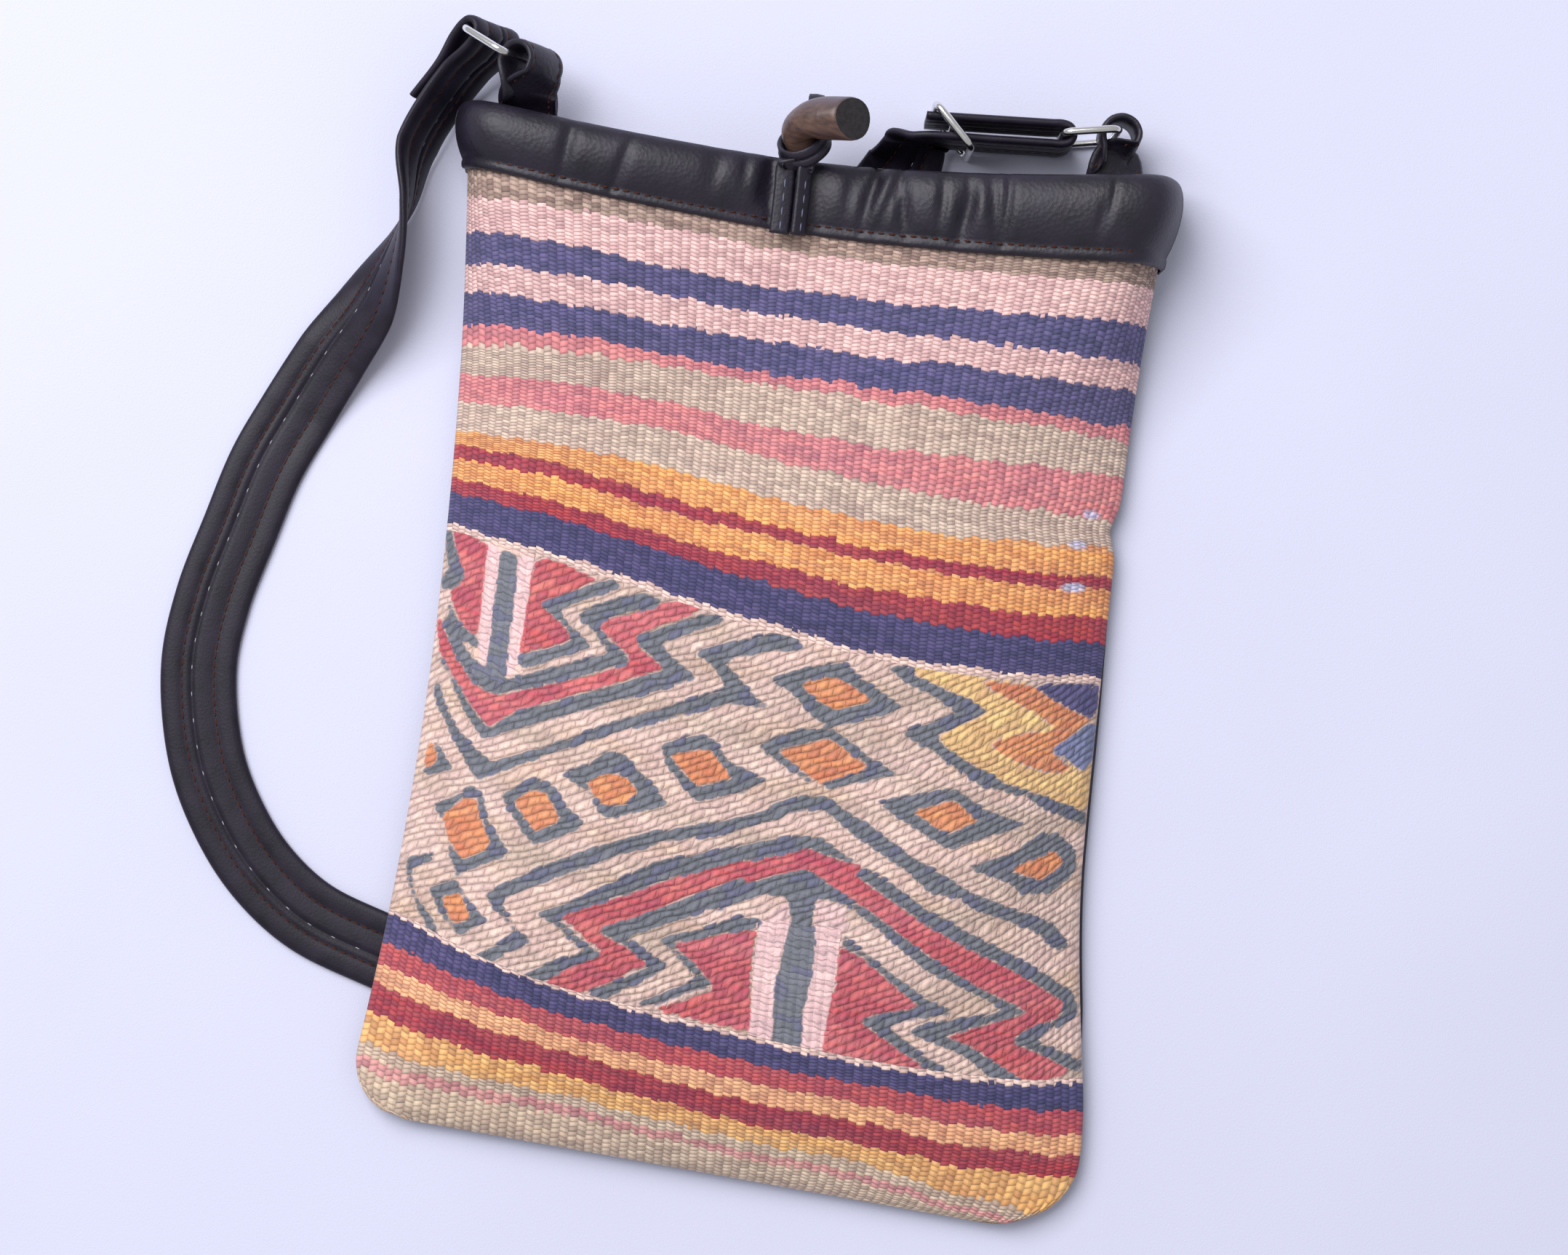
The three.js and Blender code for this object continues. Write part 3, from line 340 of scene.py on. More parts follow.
# Section of the mouth band: share of its height from the mouth, share of its thickness outward
BAND_SECTION = np.array([
    (1.0, 0.05), (1.0, 0.5), (0.985, 0.85), (0.95, 1.0), (0.91, 1.0), (0.87, 0.78), (0.83, 1.05),
    (0.77, 1.5), (0.69, 1.95), (0.6, 2.35), (0.5, 2.6), (0.4, 2.7), (0.3, 2.6), (0.2, 2.25),
    (0.13, 1.8), (0.07, 1.2), (0.025, 0.5), (0.0, -0.2), (0.0, -1.0), (0.025, -1.7),
    (0.07, -2.3), (0.14, -2.7), (0.25, -2.9), (0.4, -2.6), (0.6, -1.4), (0.8, -0.3), (1.0, 0.0)])
# Gathers of the band: middle of each group, its spread, number of folds
GATHERS = ((-15, 18, 9), (20, 20, 11), (50, 22, 9), (-66, 40, 2), (93, 14, 2))

# Stage in metres and degrees
CAMERA_AT, CAMERA_LENS, CAMERA_TURN = (0.0054, 0.0063, 1.020), 73.97, 6.5
KEY_AT, KEY_SIZE, KEY_TINT = (-0.75, 0.75, 1.5), 1.3, (0.985, 0.975, 1.0)
SKY_TINT, FLOOR_HALF = (0.965, 0.965, 1.0, 1.0), 3.0


# Shares and form


def smooth(value, low, high):
    share = np.clip((value - low) / (high - low), 0, 1)
    return share * share * (3 - 2 * share)


def bell(value, middle, span):
    return np.exp(-(((value - middle) / span) ** 2))


def rounding(y, radius):
    """Share of a corner's radius by which the outline is drawn in."""
    low = np.clip(1 - (y - BASE_Y) / radius, 0, 1)
    return 1 - np.sqrt(1 - low ** 2)


def there_and_back(u):
    """Share across from -1 to 1 and back again, and where it is on its way there."""
    turn = u * 4
    return np.where(turn < 2, turn - 1, 3 - turn), turn < 2


def step_at(share, steps):
    """Number of the step that a share from 0 to 1 falls on."""
    return np.rint(share * (steps - 1)).astype(int)


def look_up(table, row, column):
    """Values between the cells of a table."""
    i = np.clip(row.astype(int), 0, table.shape[0] - 2)
    j = np.clip(column.astype(int), 0, table.shape[1] - 2)
    t, s = np.clip(row - i, 0, 1), np.clip(column - j, 0, 1)
    return ((table[i, j] * (1 - s) + table[i, j + 1] * s) * (1 - t)
            + (table[i + 1, j] * (1 - s) + table[i + 1, j + 1] * s) * t)


def plain_half(y):
    """Half width of the bag without its round corners."""
    upper = y > WAIST_Y
    reach = np.where(upper, (y - WAIST_Y) / (MOUTH_Y - WAIST_Y), (y - WAIST_Y) / (BASE_Y - WAIST_Y))
    flare = np.where(upper, MOUTH_WIDTH, BASE_WIDTH) - WAIST_WIDTH
    return (WAIST_WIDTH + flare * reach ** 2) / 2


def half_width(y):
    return plain_half(y) - CORNER_RADIUS * rounding(y, CORNER_RADIUS)


def swell(share, y):
    """How far the right side stands out past the left."""
    out = WAIST_SWELL * bell(y, 0, WAIST_SWELL_SPAN)
    out = out + BASE_SWELL * smooth(-y, BASE_SWELL_FROM, BASE_SWELL_FULL)
    out = out - SOFT_CORNER * rounding(y, SOFT_CORNER_SPAN) - NOTCH_DEEP * bell(y, NOTCH_Y, NOTCH_SPAN)
    return np.maximum(share, 0) * out


def back_z(y):
    return MOUTH_RISE * smooth(y, FULL_UP_TO_Y, MOUTH_Y)


def seam_z(y):
    return back_z(y) + BACK_THICK + GAP


def lining_z(y):
    return seam_z(y) + GAP


def lining_half(y):
    inset = SIDE_INSET + (SEAM_WIDTH - SIDE_INSET) * smooth(y, FULL_UP_TO_Y, BAND_LOW_Y)
    return half_width(y) - inset


def front_z(x, y):
    """Height of the front panel's underside."""
    across = np.clip(x / half_width(y), -1, 1)
    to_mouth = smooth(y, FULL_UP_TO_Y, MOUTH_Y)
    to_base = np.clip((FULL_DOWN_TO_Y - y) / (FULL_DOWN_TO_Y - BASE_Y), 0, 1)
    gape = MOUTH_GAPE * np.maximum(across, 0) ** 2
    pinch = MOUTH_PINCH * bell(across, 0, PINCH_SPAN)
    lift = BODY_LIFT + (MOUTH_LIFT + gape - pinch - BODY_LIFT) * to_mouth
    fullness = BODY_FULLNESS + (MOUTH_FULLNESS - BODY_FULLNESS) * to_mouth
    return seam_z(y) + lift * (1 - np.abs(across) ** fullness) * (1 - to_base ** 4)


def settle(x, y):
    """Moves a level line to where it hangs: the mouth sags and the base is askew."""
    across = np.clip(x / half_width(y), -1, 1)
    height = np.clip((y - BASE_Y) / (MOUTH_Y - BASE_Y), 0, 1.1)
    return y - MOUTH_SAG * (1 - across ** 2) * height ** 4 - BASE_SKEW * across * (1 - height) ** 2


def unsettle(x, y):
    """The level line that settles at a height."""
    level = np.array(y, float)
    for _ in range(6):
        level = level + (y - settle(x, level))
    return level


def band_top_z(x, y):
    return front_z(x, y) + KILIM_THICK + BAND_SLACK + BAND_THICK


def soft_dents(x, y):
    """Slow unevenness of filled cloth."""
    return (0.8 * np.sin(x / 31 + 0.6) * np.sin(y / 43 + 1.1) + 0.6 * np.sin(x / 17 - y / 29 + 2.0)
            + 0.5 * np.sin(y / 15 + x / 60))


# Paths


def unit(vectors):
    vectors = np.asarray(vectors, float)
    return vectors / np.maximum(np.linalg.norm(vectors, axis=-1, keepdims=True), 1e-9)


def curve_points(points, count):
    """Centripetal curve through given points, with an even count of steps from point to point."""
    points = np.array(points, float)
    ends = np.vstack([2 * points[0] - points[1], points, 2 * points[-1] - points[-2]])
    last = len(points) - 1
    at = np.linspace(0, last, count)
    index = np.minimum(at.astype(int), last - 1)
    share = (at - index)[:, None]
    p0, p1, p2, p3 = (ends[index + k] for k in range(4))
    d0, d1, d2 = (np.maximum(np.linalg.norm(b - a, axis=1, keepdims=True) ** 0.5, 1e-4)
                  for a, b in ((p0, p1), (p1, p2), (p2, p3)))
    t1 = ((p1 - p0) / d0 - (p2 - p0) / (d0 + d1) + (p2 - p1) / d1) * d1
    t2 = ((p2 - p1) / d1 - (p3 - p1) / (d1 + d2) + (p3 - p2) / d2) * d1
    c2 = -3 * p1 + 3 * p2 - 2 * t1 - t2
    c3 = 2 * p1 - 2 * p2 + t1 + t2
    return p1 + t1 * share + c2 * share ** 2 + c3 * share ** 3


class Strip:
    """A flat strip along stations, each a place and the direction of the width."""

    def __init__(self, stations, count):
        places, sides = zip(*stations)
        sides = np.array(sides, float)
        self.middle = curve_points(places, count)
        self.along = unit(np.gradient(self.middle, axis=0))
        at = np.linspace(0, len(stations) - 1, count)
        index = np.minimum(at.astype(int), len(stations) - 2)
        side = sides[index] + (sides[index + 1] - sides[index]) * (at - index)[:, None]
        self.face = unit(np.cross(self.along, side))
        self.side = unit(np.cross(self.face, self.along))
        steps = np.linalg.norm(np.diff(self.middle, axis=0), axis=1)
        self.length = np.concatenate([[0], np.cumsum(steps)])

    def part(self, first, last):
        """The stretch from one step to another."""
        piece = object.__new__(Strip)
        for name in ("middle", "face", "side", "along", "length"):
            setattr(piece, name, getattr(self, name)[first:last + 1])
        return piece

    def at(self, length):
        """Frame of the strip at a length along it: place, along, side, face."""
        return [np.array([np.interp(length, self.length, rows[:, k]) for k in range(3)])
                for rows in (self.middle, self.along, self.side, self.face)]


def ring_far(ring):
    """Middle of the ring's bar that holds the strap."""
    return np.array(ring["near"]) + RING_PITCH * unit(ring["reach"])


def strap_strip(count):
    """The whole strap, from its sewn end round the left ring to its loose end round the right ring."""
    sewn = (STRAP_THICK + GAP) / 2
    reach = SLIDE_FROM_RING + SLIDE_PITCH
    turn = [(0, 1), (-0.7071, 0.7071), (-1, 0), (-0.7071, -0.7071), (0, -1)]
    left_face = unit(np.cross(unit(LEFT_RUN), LEFT_RING["bar"]))

    def left(run, out):
        return ring_far(LEFT_RING) + unit(LEFT_RUN) * run + left_face * out, LEFT_RING["bar"]

    def right(run, out):
        return ring_far(RIGHT_RING) + unit(RIGHT_RUN) * run + unit(RIGHT_LOWER) * out, RIGHT_RING["bar"]

    stations = [left(SEWN_END, -sewn), left(SEWN_END / 2, -sewn), left(LEFT_EYE_RUN, -EYE_RADIUS)]
    stations += [left(run * EYE_RADIUS, out * EYE_RADIUS) for run, out in reversed(turn)]
    stations += [left(LEFT_EYE_RUN, EYE_RADIUS), left(SEWN_END / 2, sewn)]
    for i, (x, y, z, roll) in enumerate(STRAP_LAY):
        before, after = STRAP_LAY[max(i - 1, 0)], STRAP_LAY[min(i + 1, len(STRAP_LAY) - 1)]
        heading = unit((after[0] - before[0], after[1] - before[1], 0.0))
        level = np.cross((0, 0, 1), heading)
        turned = math.radians(roll)
        stations.append(((x, y, z), level * math.cos(turned) + np.array((0, 0, math.sin(turned)))))
    stations += [right(run, EYE_RADIUS) for run in (reach, reach / 2, RIGHT_EYE_RUN)]
    stations += [right(run * EYE_RADIUS, out * EYE_RADIUS) for run, out in turn]
    stations += [right(run, -EYE_RADIUS) for run in (RIGHT_EYE_RUN, reach / 2, reach)]
    return Strip(stations, count)


def tab_strip(side, turn, curl):
    """A tab from its sewn foot, twisted, round the ring and back."""
    leg = (TAB_THICK + GAP) / 2
    loop = TAB_HOLE_RADIUS + TAB_THICK / 2

    def station(u, v):
        twist = math.radians(turn) * float(smooth(u, TAB_TWIST_FROM, TAB_HOLE_AT - 2))
        rise = curl * float(smooth(u, TAB_TWIST_FROM - TAB_EASE, TAB_HOLE_AT - loop))
        face = np.array((math.sin(twist), 0, math.cos(twist)))
        place = np.array((side * TAB_X, TAB_BASE_Y + u, TAB_BASE_Z + rise)) + face * v
        return place, (math.cos(twist), 0, -math.sin(twist))

    legs = [share * (TAB_HOLE_AT - loop - TAB_EASE) for share in (0, 0.25, 0.5, 0.75, 1)]
    stations = [station(u, -leg) for u in legs]
    for degrees in range(-120, 121, 40):
        a = math.radians(degrees)
        stations.append(station(TAB_HOLE_AT + loop * math.cos(a), loop * math.sin(a)))
    stations += [station(u, leg) for u in reversed(legs)]
    return Strip(stations, 120)


# Mesh tools


def bent_grid(columns, rows, place, closed=False, capped=False):
    """A flat grid bent into shape by place(shares across, shares along), in millimetres."""
    bm = bmesh.new()
    bmesh.ops.create_grid(bm, x_segments=columns, y_segments=rows, size=0.5)
    verts = list(bm.verts)
    share = np.array([v.co[:2] for v in verts]) + 0.5
    points = place(share[:, 0], share[:, 1]) * MM
    for vert, point in zip(verts, points):
        vert.co = point
    if closed:
        bmesh.ops.remove_doubles(bm, verts=verts, dist=1e-6)
    if capped:
        bmesh.ops.holes_fill(bm, edges=[e for e in bm.edges if e.is_boundary])
    bmesh.ops.recalc_face_normals(bm, faces=bm.faces)
    return bm


def shape_of(profile, strip):
    """Bends a grid round a profile of (across, out) points and along a strip."""
    profile = np.array(list(profile) + [profile[0]], float)
    count = len(strip.middle)

    def place(u, v):
        i, j = step_at(u, count), step_at(v, len(profile))
        across, out = profile[j, 0], profile[j, 1]
        return strip.middle[i] + strip.side[i] * across[:, None] + strip.face[i] * out[:, None]

    return bent_grid(count - 1, len(profile) - 1, place, closed=True, capped=True)


def add_stitch(bm, place, along, out, length, radius, slot=1):
    """One thread stitch lying on a surface, place in millimetres."""
    z = unit(out)
    x = unit(np.array(along, float) - z * np.dot(along, z))
    y = np.cross(z, x)
    turn = Matrix([list(row) + [0] for row in np.array([x, y, z]).T] + [[0, 0, 0, 1]])
    spot = Matrix.Translation(Vector(np.array(place) * MM))
    scale = Matrix.Diagonal((length / 2 * MM, radius * MM, radius * 0.8 * MM, 1))
    made = bmesh.ops.create_icosphere(bm, subdivisions=1, radius=1, matrix=spot @ turn @ scale)
    for face in {f for v in made["verts"] for f in v.link_faces}:
        face.material_index = slot


def sew_strip(bm, strip, offsets, out, pitch, first, last, long=0.68, radius=0.34, slot=1):
    """Rows of stitches along a strip at offsets across it."""
    for offset in offsets:
        for length in np.arange(first, last, pitch):
            place, along, side, face = strip.at(length)
            height = face * out
            add_stitch(bm, place + side * offset + height, along, height, pitch * long, radius, slot)


def place_piece(name, bm, materials, nodes=(), body="bag"):
    """Turns a finished bmesh into a piece that rides on its body."""
    mesh = bpy.data.meshes.new(name)
    bm.to_mesh(mesh)
    bm.free()
    for face in mesh.polygons:
        face.use_smooth = True
    for material in materials:
        mesh.materials.append(material)
    piece = bpy.data.objects.new(name, mesh)
    bpy.context.scene.collection.objects.link(piece)
    if body:
        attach(piece, body)
    if nodes:
        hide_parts(*nodes)
    return piece


def set_corner_uv(mesh, values):
    """UV of each corner from values held at the vertices."""
    index = np.empty(len(mesh.loops), np.int32)
    mesh.loops.foreach_get("vertex_index", index)
    layer = mesh.uv_layers.new(name="weave")
    layer.data.foreach_set("uv", values[index].astype(np.float32).ravel())


# Shading tools


def linear(colour):
    return tuple(c / 12.92 if c <= 0.04045 else ((c + 0.055) / 1.055) ** 2.4 for c in colour)


def wool(name):
    """Linear colour of a dyed yarn. The ground of the brocade is cream."""
    return linear(DYES.get(name, DYES["cream"]))


def math_node(operation, swapped=False):
    """A method of a socket that adds a Math node."""

    def method(self, *others):
        values = (*others, self) if swapped else (self, *others)
        return self.finish.node("ShaderNodeMath", {"operation": operation}, dict(enumerate(values)))

    return method


class Sock:
    """A value socket that takes part in arithmetic."""

    __add__ = __radd__ = math_node("ADD")
    __mul__ = __rmul__ = math_node("MULTIPLY")
    __sub__ = math_node("SUBTRACT")
    __rsub__ = math_node("SUBTRACT", swapped=True)
    __truediv__ = math_node("DIVIDE")
    __pow__ = math_node("POWER")
    __mod__ = math_node("FLOORED_MODULO")
    __abs__ = math_node("ABSOLUTE")
    floor = math_node("FLOOR")
    sine = math_node("SINE")

    def __init__(self, finish, socket):
        self.finish = finish
        self.socket = socket

    def held(self):
        return self.finish.node("ShaderNodeClamp", None, {"Value": self})

    def over(self, least, gain):
        """How far the value is past a least one, from 0 to 1."""
        return ((self - least) * gain).held()

    def sharp(self, gain):
        """A soft cover made sharper at its half."""
        return ((self - 0.5) * gain + 0.5).held()

    def ridge(self, power):
        """Round ridges, one for each whole number."""
        return abs((self * math.pi).sine()) ** power


class Finish:
    """A material built from node expressions."""

    def __init__(self, name):
        self.material = bpy.data.materials.new(name)
        self.material.use_nodes = True
        self.tree = self.material.node_tree
        self.shader = next(n for n in self.tree.nodes if n.type == "BSDF_PRINCIPLED")

    def node(self, kind, settings=None, inputs=None, output=0):
        made = self.tree.nodes.new(kind)
        for key, value in (settings or {}).items():
            if key == "stepped":
                made.color_ramp.interpolation = "CONSTANT"
            elif key == "stops":
                ramp = made.color_ramp
                while len(ramp.elements) < len(value):
                    ramp.elements.new(1.0)
                for element, (at, colour) in zip(ramp.elements, value):
                    element.position = at
                    element.color = (*colour, 1.0)
            else:
                setattr(made, key, value)
        for key, value in (inputs or {}).items():
            self.feed(made.inputs[key], value)
        return Sock(self, made.outputs[output])

    def feed(self, socket, value):
        if isinstance(value, Sock):
            self.tree.links.new(value.socket, socket)
        else:
            socket.default_value = value

    def coords(self):
        return self.node("ShaderNodeTexCoord", output="Object")

    def axis(self, at, number):
        return self.node("ShaderNodeSeparateXYZ", None, {0: at}, number)

    def stored(self, name, output):
        return self.node("ShaderNodeAttribute", {"attribute_name": name}, output=output)

    def noise(self, at, scale, detail=2.0, roughness=0.5):
        return self.node("ShaderNodeTexNoise", {"noise_dimensions": "3D"},
                         {"Vector": at, "Scale": scale, "Detail": detail, "Roughness": roughness})

    def scaled(self, at, factors):
        return self.node("ShaderNodeVectorMath", {"operation": "MULTIPLY"}, {0: at, 1: factors})

    def patches(self, at, across, along, detail, roughness=0.5):
        """Noise on the cloth with its own scale across the ribs and along them."""
        return self.noise(self.scaled(at, (across, along, 1.0)), 1.0, detail, roughness)

    def ramp(self, value, stops):
        return self.node("ShaderNodeValToRGB", {"stops": stops}, {"Fac": value})

    def mix(self, share, first, second):
        first, second = (c if isinstance(c, Sock) else (*c, 1.0) for c in (first, second))
        return self.node("ShaderNodeMix", {"data_type": "RGBA"}, {0: share, 6: first, 7: second}, 2)

    def chance(self, u, v):
        """A value from 0 to 1 that is the same all over one stitch."""
        at = self.node("ShaderNodeCombineXYZ", None, {0: u, 1: v})
        return self.node("ShaderNodeTexWhiteNoise", {"noise_dimensions": "2D"}, {"Vector": at}, "Value")

    def bump(self, height, distance, strength):
        return self.node("ShaderNodeBump", None,
                         {"Height": height, "Distance": distance, "Strength": strength})

    def done(self, **sockets):
        for key, value in sockets.items():
            name = key.replace("_", " ").title().replace("Ior", "IOR")
            self.feed(self.shader.inputs[name], value)
        return self.material


# Settings


class KilimWeave(bpy.types.PropertyGroup):
    """The woven front."""

    ribs: bpy.props.IntProperty(name="Ribs", description="Warp ribs across the front", default=84, min=8)
    rib_depth: bpy.props.FloatProperty(
        name="Rib depth", description="Height of a rib over the grooves", default=0.0005,
        subtype="DISTANCE", unit="LENGTH")
    row_height: bpy.props.FloatProperty(
        name="Row height", description="Height of one weft row", default=0.00122,
        subtype="DISTANCE", unit="LENGTH")
    abrash: bpy.props.FloatProperty(
        name="Abrash", description="Unevenness of the dye", default=0.09, min=0, max=1, subtype="FACTOR")


class LeatherLook(bpy.types.PropertyGroup):
    """The dark leather and its thread."""

    colour: bpy.props.FloatVectorProperty(
        name="Leather", description="Colour of the leather", default=(0.112, 0.093, 0.148), size=3,
        min=0, max=1, subtype="COLOR_GAMMA")
    thread: bpy.props.FloatVectorProperty(
        name="Thread", description="Colour of the thread", default=(0.30, 0.165, 0.125), size=3,
        min=0, max=1, subtype="COLOR_GAMMA")
    pucker: bpy.props.FloatProperty(
        name="Pucker depth", description="Depth of the gathers in the mouth band", default=0.0021,
        subtype="DISTANCE", unit="LENGTH")


class StageLook(bpy.types.PropertyGroup):
    """The floor and the lamps."""

    floor: bpy.props.FloatVectorProperty(
        name="Floor", description="Colour of the cloth below the bag", default=(0.880, 0.888, 0.972),
        size=3, min=0, max=1, subtype="COLOR_GAMMA")
    key: bpy.props.FloatProperty(
        name="Key lamp", description="Power of the key lamp", default=32.0, unit="POWER")
    sky: bpy.props.FloatProperty(name="Sky", description="Strength of the even light", default=0.43, min=0)


class BagSettings(bpy.types.PropertyGroup):
    """All settings of the bag."""

    weave: bpy.props.PointerProperty(name="Weave", description="The woven front", type=KilimWeave)
    leather: bpy.props.PointerProperty(name="Leather", description="The leather", type=LeatherLook)
    stage: bpy.props.PointerProperty(name="Stage", description="Floor and lamps", type=StageLook)


# Woven wool


def plain_weave(u, v):
    """The plain weave: number of the rib and of the row, shift of every other rib, bead and crown."""
    rib = u.floor()
    shift = (rib % 2.0) * 0.5
    slant = (u - rib - 0.5) * (shift * 4.0 - 1.0) * 0.3
    place = v + shift + slant
    return rib, place.floor(), shift, place.ridge(0.5), u.ridge(0.6)


def brocade_weave(f, at, u, v):
    """The brocade's slanted stitches, level in the upright bars: their line, their run, their height."""
    leaning = 1.0 - f.stored("bars", "Fac").sharp(20.0)
    sway = (f.patches(at, 0.16, 0.16, 1.0) - 0.5) * 1.5
    level_sway = (f.patches(at, 0.7, 0.4, 1.0) - 0.5) * 1.8
    line = (v * 0.62 + level_sway) * (1.0 - leaning) + (v * 0.47 - u * 0.62 + sway) * leaning
    run = u * 0.66 + (line.floor() % 2.0) * 0.5 + sway * 0.5
    slanted = line.ridge(0.8) * (0.15 + 0.85 * run.ridge(0.45))
    level = 0.5 + 0.5 * line.ridge(0.6)
    return line, run, slanted * leaning + level * (1.0 - leaning)


def stripe_dye(f, height, low, high):
    """Dye of the stripe at a height on the middle rib."""
    borders = weft_lines(np.zeros(1))[1:-1, 0]
    places = [0.0] + [(border - low) / (high - low) for border in borders[:-1]]
    stops = [(place, wool(name)) for place, (name, _) in zip(places, reversed(STRIPES))]
    return f.node("ShaderNodeValToRGB", {"stepped": True, "stops": stops},
                  {"Fac": (height - low) / (high - low)})


def brocade_covers(f):
    """Cover of each brocaded colour, then of the band that holds them."""
    covers = []
    for name in ("brocade_a", "brocade_b"):
        colour = f.stored(name, "Color")
        covers += [f.node("ShaderNodeSeparateColor", None, {0: colour}, k) for k in range(3)]
        covers.append(f.stored(name, "Alpha"))
    return covers


def brocade_dye(f, dye, covers, band, stitch, pick, worn):
    """Lays the brocaded colours over a dye, stitch by stitch. Grey and red have two tones."""
    bite = (stitch - 0.55) * 0.30 + (pick - 0.5) * 0.30
    second = {"grey": (pick.over(0.7, 6.0) * 0.6, "slate"),
              "red": (((worn - 0.47) * 5.0 + (pick - 0.5) * 0.8).held() * 0.8, "coralred")}
    for name, cover in zip(BROCADE, covers):
        yarn = wool(name)
        if name in second:
            share, other = second[name]
            yarn = f.mix(share, yarn, wool(other))
        reach = bite + 0.06 if name == "grey" else bite
        dye = f.mix((cover + reach).sharp(5.0) * band, dye, yarn)
    return dye


def frayed_dye(f, dye, fluff):
    """Lays pale fuzzy spots over a dye where threads have come loose."""
    here = f.scaled(f.coords(), (FRAY_ACROSS / MM, FRAY_ALONG / MM, 0.0))
    for x, y in FRAYED:
        away = f.node("ShaderNodeVectorMath", {"operation": "DISTANCE"},
                      {0: here, 1: (x * FRAY_ACROSS, y * FRAY_ALONG, 0.0)}, "Value")
        dye = f.mix(((1.25 - away + (fluff - 0.5) * 2.4) * 2.5).held() * 0.85, dye, wool("lilac"))
    return dye


def kilim_material(weave, low, high):
    f = Finish("kilim_wool")
    at = f.node("ShaderNodeUVMap", {"uv_map": "weave"})
    u, v = f.axis(at, 0), f.axis(at, 1)
    rib, row, shift, bead, crown = plain_weave(u, v)
    line, run, stitch = brocade_weave(f, at, u, v)
    knot, pick = f.chance(rib, row), f.chance(run.floor(), line.floor() + 57.0)
    slow, worn = f.patches(at, 0.09, 0.13, 2.0), f.patches(at, 0.05, 0.11, 1.0)
    fluff = f.patches(at, 1.6, 2.6, 3.0, 0.7)
    passes = f.patches(at, 0.03, 0.9, 2.0, 0.6)
    strands = f.patches(at, 1.2, 8.0, 3.0, 0.6)
    fuzz = f.noise(f.coords(), 1700.0, roughness=0.6)

    wander = (f.patches(at, 0.16, 0.02, 2.0) - 0.5) * 2.2
    jitter = (f.chance(rib, 3.0) - 0.5) * 0.5 + (knot - 0.5) * 0.5
    height = (row + 0.5 - shift + wander + jitter) * (weave.row_height / MM)
    *covers, band = brocade_covers(f)
    band = band.sharp(12.0)
    dye = stripe_dye(f, height, low, high)
    dye = f.mix(worn.over(0.42, 4.0) * band * 0.8, dye, wool("stone"))
    dye = f.mix(((0.5 - slow) * 4.0).held() * band * 0.7, dye, wool("straw"))
    dye = brocade_dye(f, dye, covers, band, stitch, pick, worn)
    dye = frayed_dye(f, dye, fluff)
    dye = f.mix(fluff.over(0.7, 9.0) * 0.5 * band, dye, wool("pink"))

    stray = knot + (pick - knot) * band
    # Painted shade: the colour is darker in the grooves between ribs, between weft beads and between
    # brocade stitches
    plain = (0.70 + 0.30 * crown) * (0.64 + 0.36 * bead)
    woven = plain + (0.60 + 0.40 * stitch - plain) * band
    mottle = height.over(121.0, 0.4) * 4.0
    uneven = (stray - 0.5) * (4.8 - band * 2.0 + mottle) + (passes - 0.5) * 4.4 + (slow - 0.5) * 2.4
    tone = 1.0 + uneven * weave.abrash
    # Painted groove shade times the dye's own unevenness, with fibre streaks and fuzz
    groove_shade_and_tone = woven * tone * 1.18 + (strands - 0.5) * 0.34 + (fuzz - 0.5) * 0.22
    hue = 0.5 + (slow - 0.5) * 0.03 + (stray - 0.5) * 0.014
    colour = f.node("ShaderNodeHueSaturation", None,
                    {"Hue": hue, "Saturation": 0.82 + passes * 0.3, "Value": groove_shade_and_tone, "Color": dye})
    relief = bead * (0.4 + 0.6 * crown) + (stitch * 1.7 - bead) * band + (fuzz - 0.5) * 0.45
    return f.done(base_color=colour, roughness=0.93, specular_ior_level=0.1, sheen_weight=0.1,
                  sheen_roughness=0.6, normal=f.bump(relief, 0.00045, 0.78))


# Other materials


def leather_material(name, colour, scale=1.0, grain=0.00013, shine=0.5):
    f = Finish(name)
    at = f.coords()
    pebble = f.node("ShaderNodeTexVoronoi", {"feature": "F1"}, {"Vector": at, "Scale": 760.0 * scale})
    broad = f.noise(at, 90.0 * scale, detail=3.0, roughness=0.55)
    fine = f.noise(at, 2600.0 * scale)
    dark, light = (tuple(c * k for c in linear(colour)) for k in (0.72, 1.55))
    tone = f.mix(f.ramp(broad, [(0.3, (0, 0, 0)), (0.72, (1, 1, 1))]), dark, light)
    height = pebble * 0.8 + fine * 0.3 + broad * 0.3
    return f.done(base_color=tone, roughness=0.38 + broad * 0.16, specular_ior_level=shine,
                  normal=f.bump(height, grain, 0.8))


def lining_material():
    f = Finish("lining_cloth")
    at = f.coords()
    weave = abs((f.axis(at, 0) * 4200.0).sine()) * abs((f.axis(at, 1) * 4200.0).sine())
    tone = f.mix(weave, linear((0.17, 0.15, 0.14)), linear((0.27, 0.24, 0.22)))
    return f.done(base_color=tone, roughness=0.95, specular_ior_level=0.1,
                  normal=f.bump(weave, 0.0002, 0.6))


def horn_material():
    """Streaked horn, with painted grey sheen on its upper side that grows towards its cut end."""
    f = Finish("horn")
    at = f.coords()
    streak = f.noise(f.scaled(at, (70.0, 620.0, 620.0)), 1.0, detail=4.0, roughness=0.55)
    tone = f.ramp(streak, [(0.25, linear((0.24, 0.19, 0.185))), (0.50, linear((0.36, 0.275, 0.245))),
                           (0.75, linear((0.46, 0.345, 0.29)))])
    # Painted sheen: grey laid over the horn's upper side, where y is past 160.5 mm
    tone = f.mix(f.axis(at, 1).over(0.1605, 150.0) * 0.75, tone, linear((0.36, 0.325, 0.36)))
    wear = f.noise(at, 1500.0, detail=3.0)
    return f.done(base_color=tone, roughness=0.26 + wear * 0.18, specular_ior_level=0.5,
                  normal=f.bump(streak + wear * 0.3, 0.00006, 0.5))


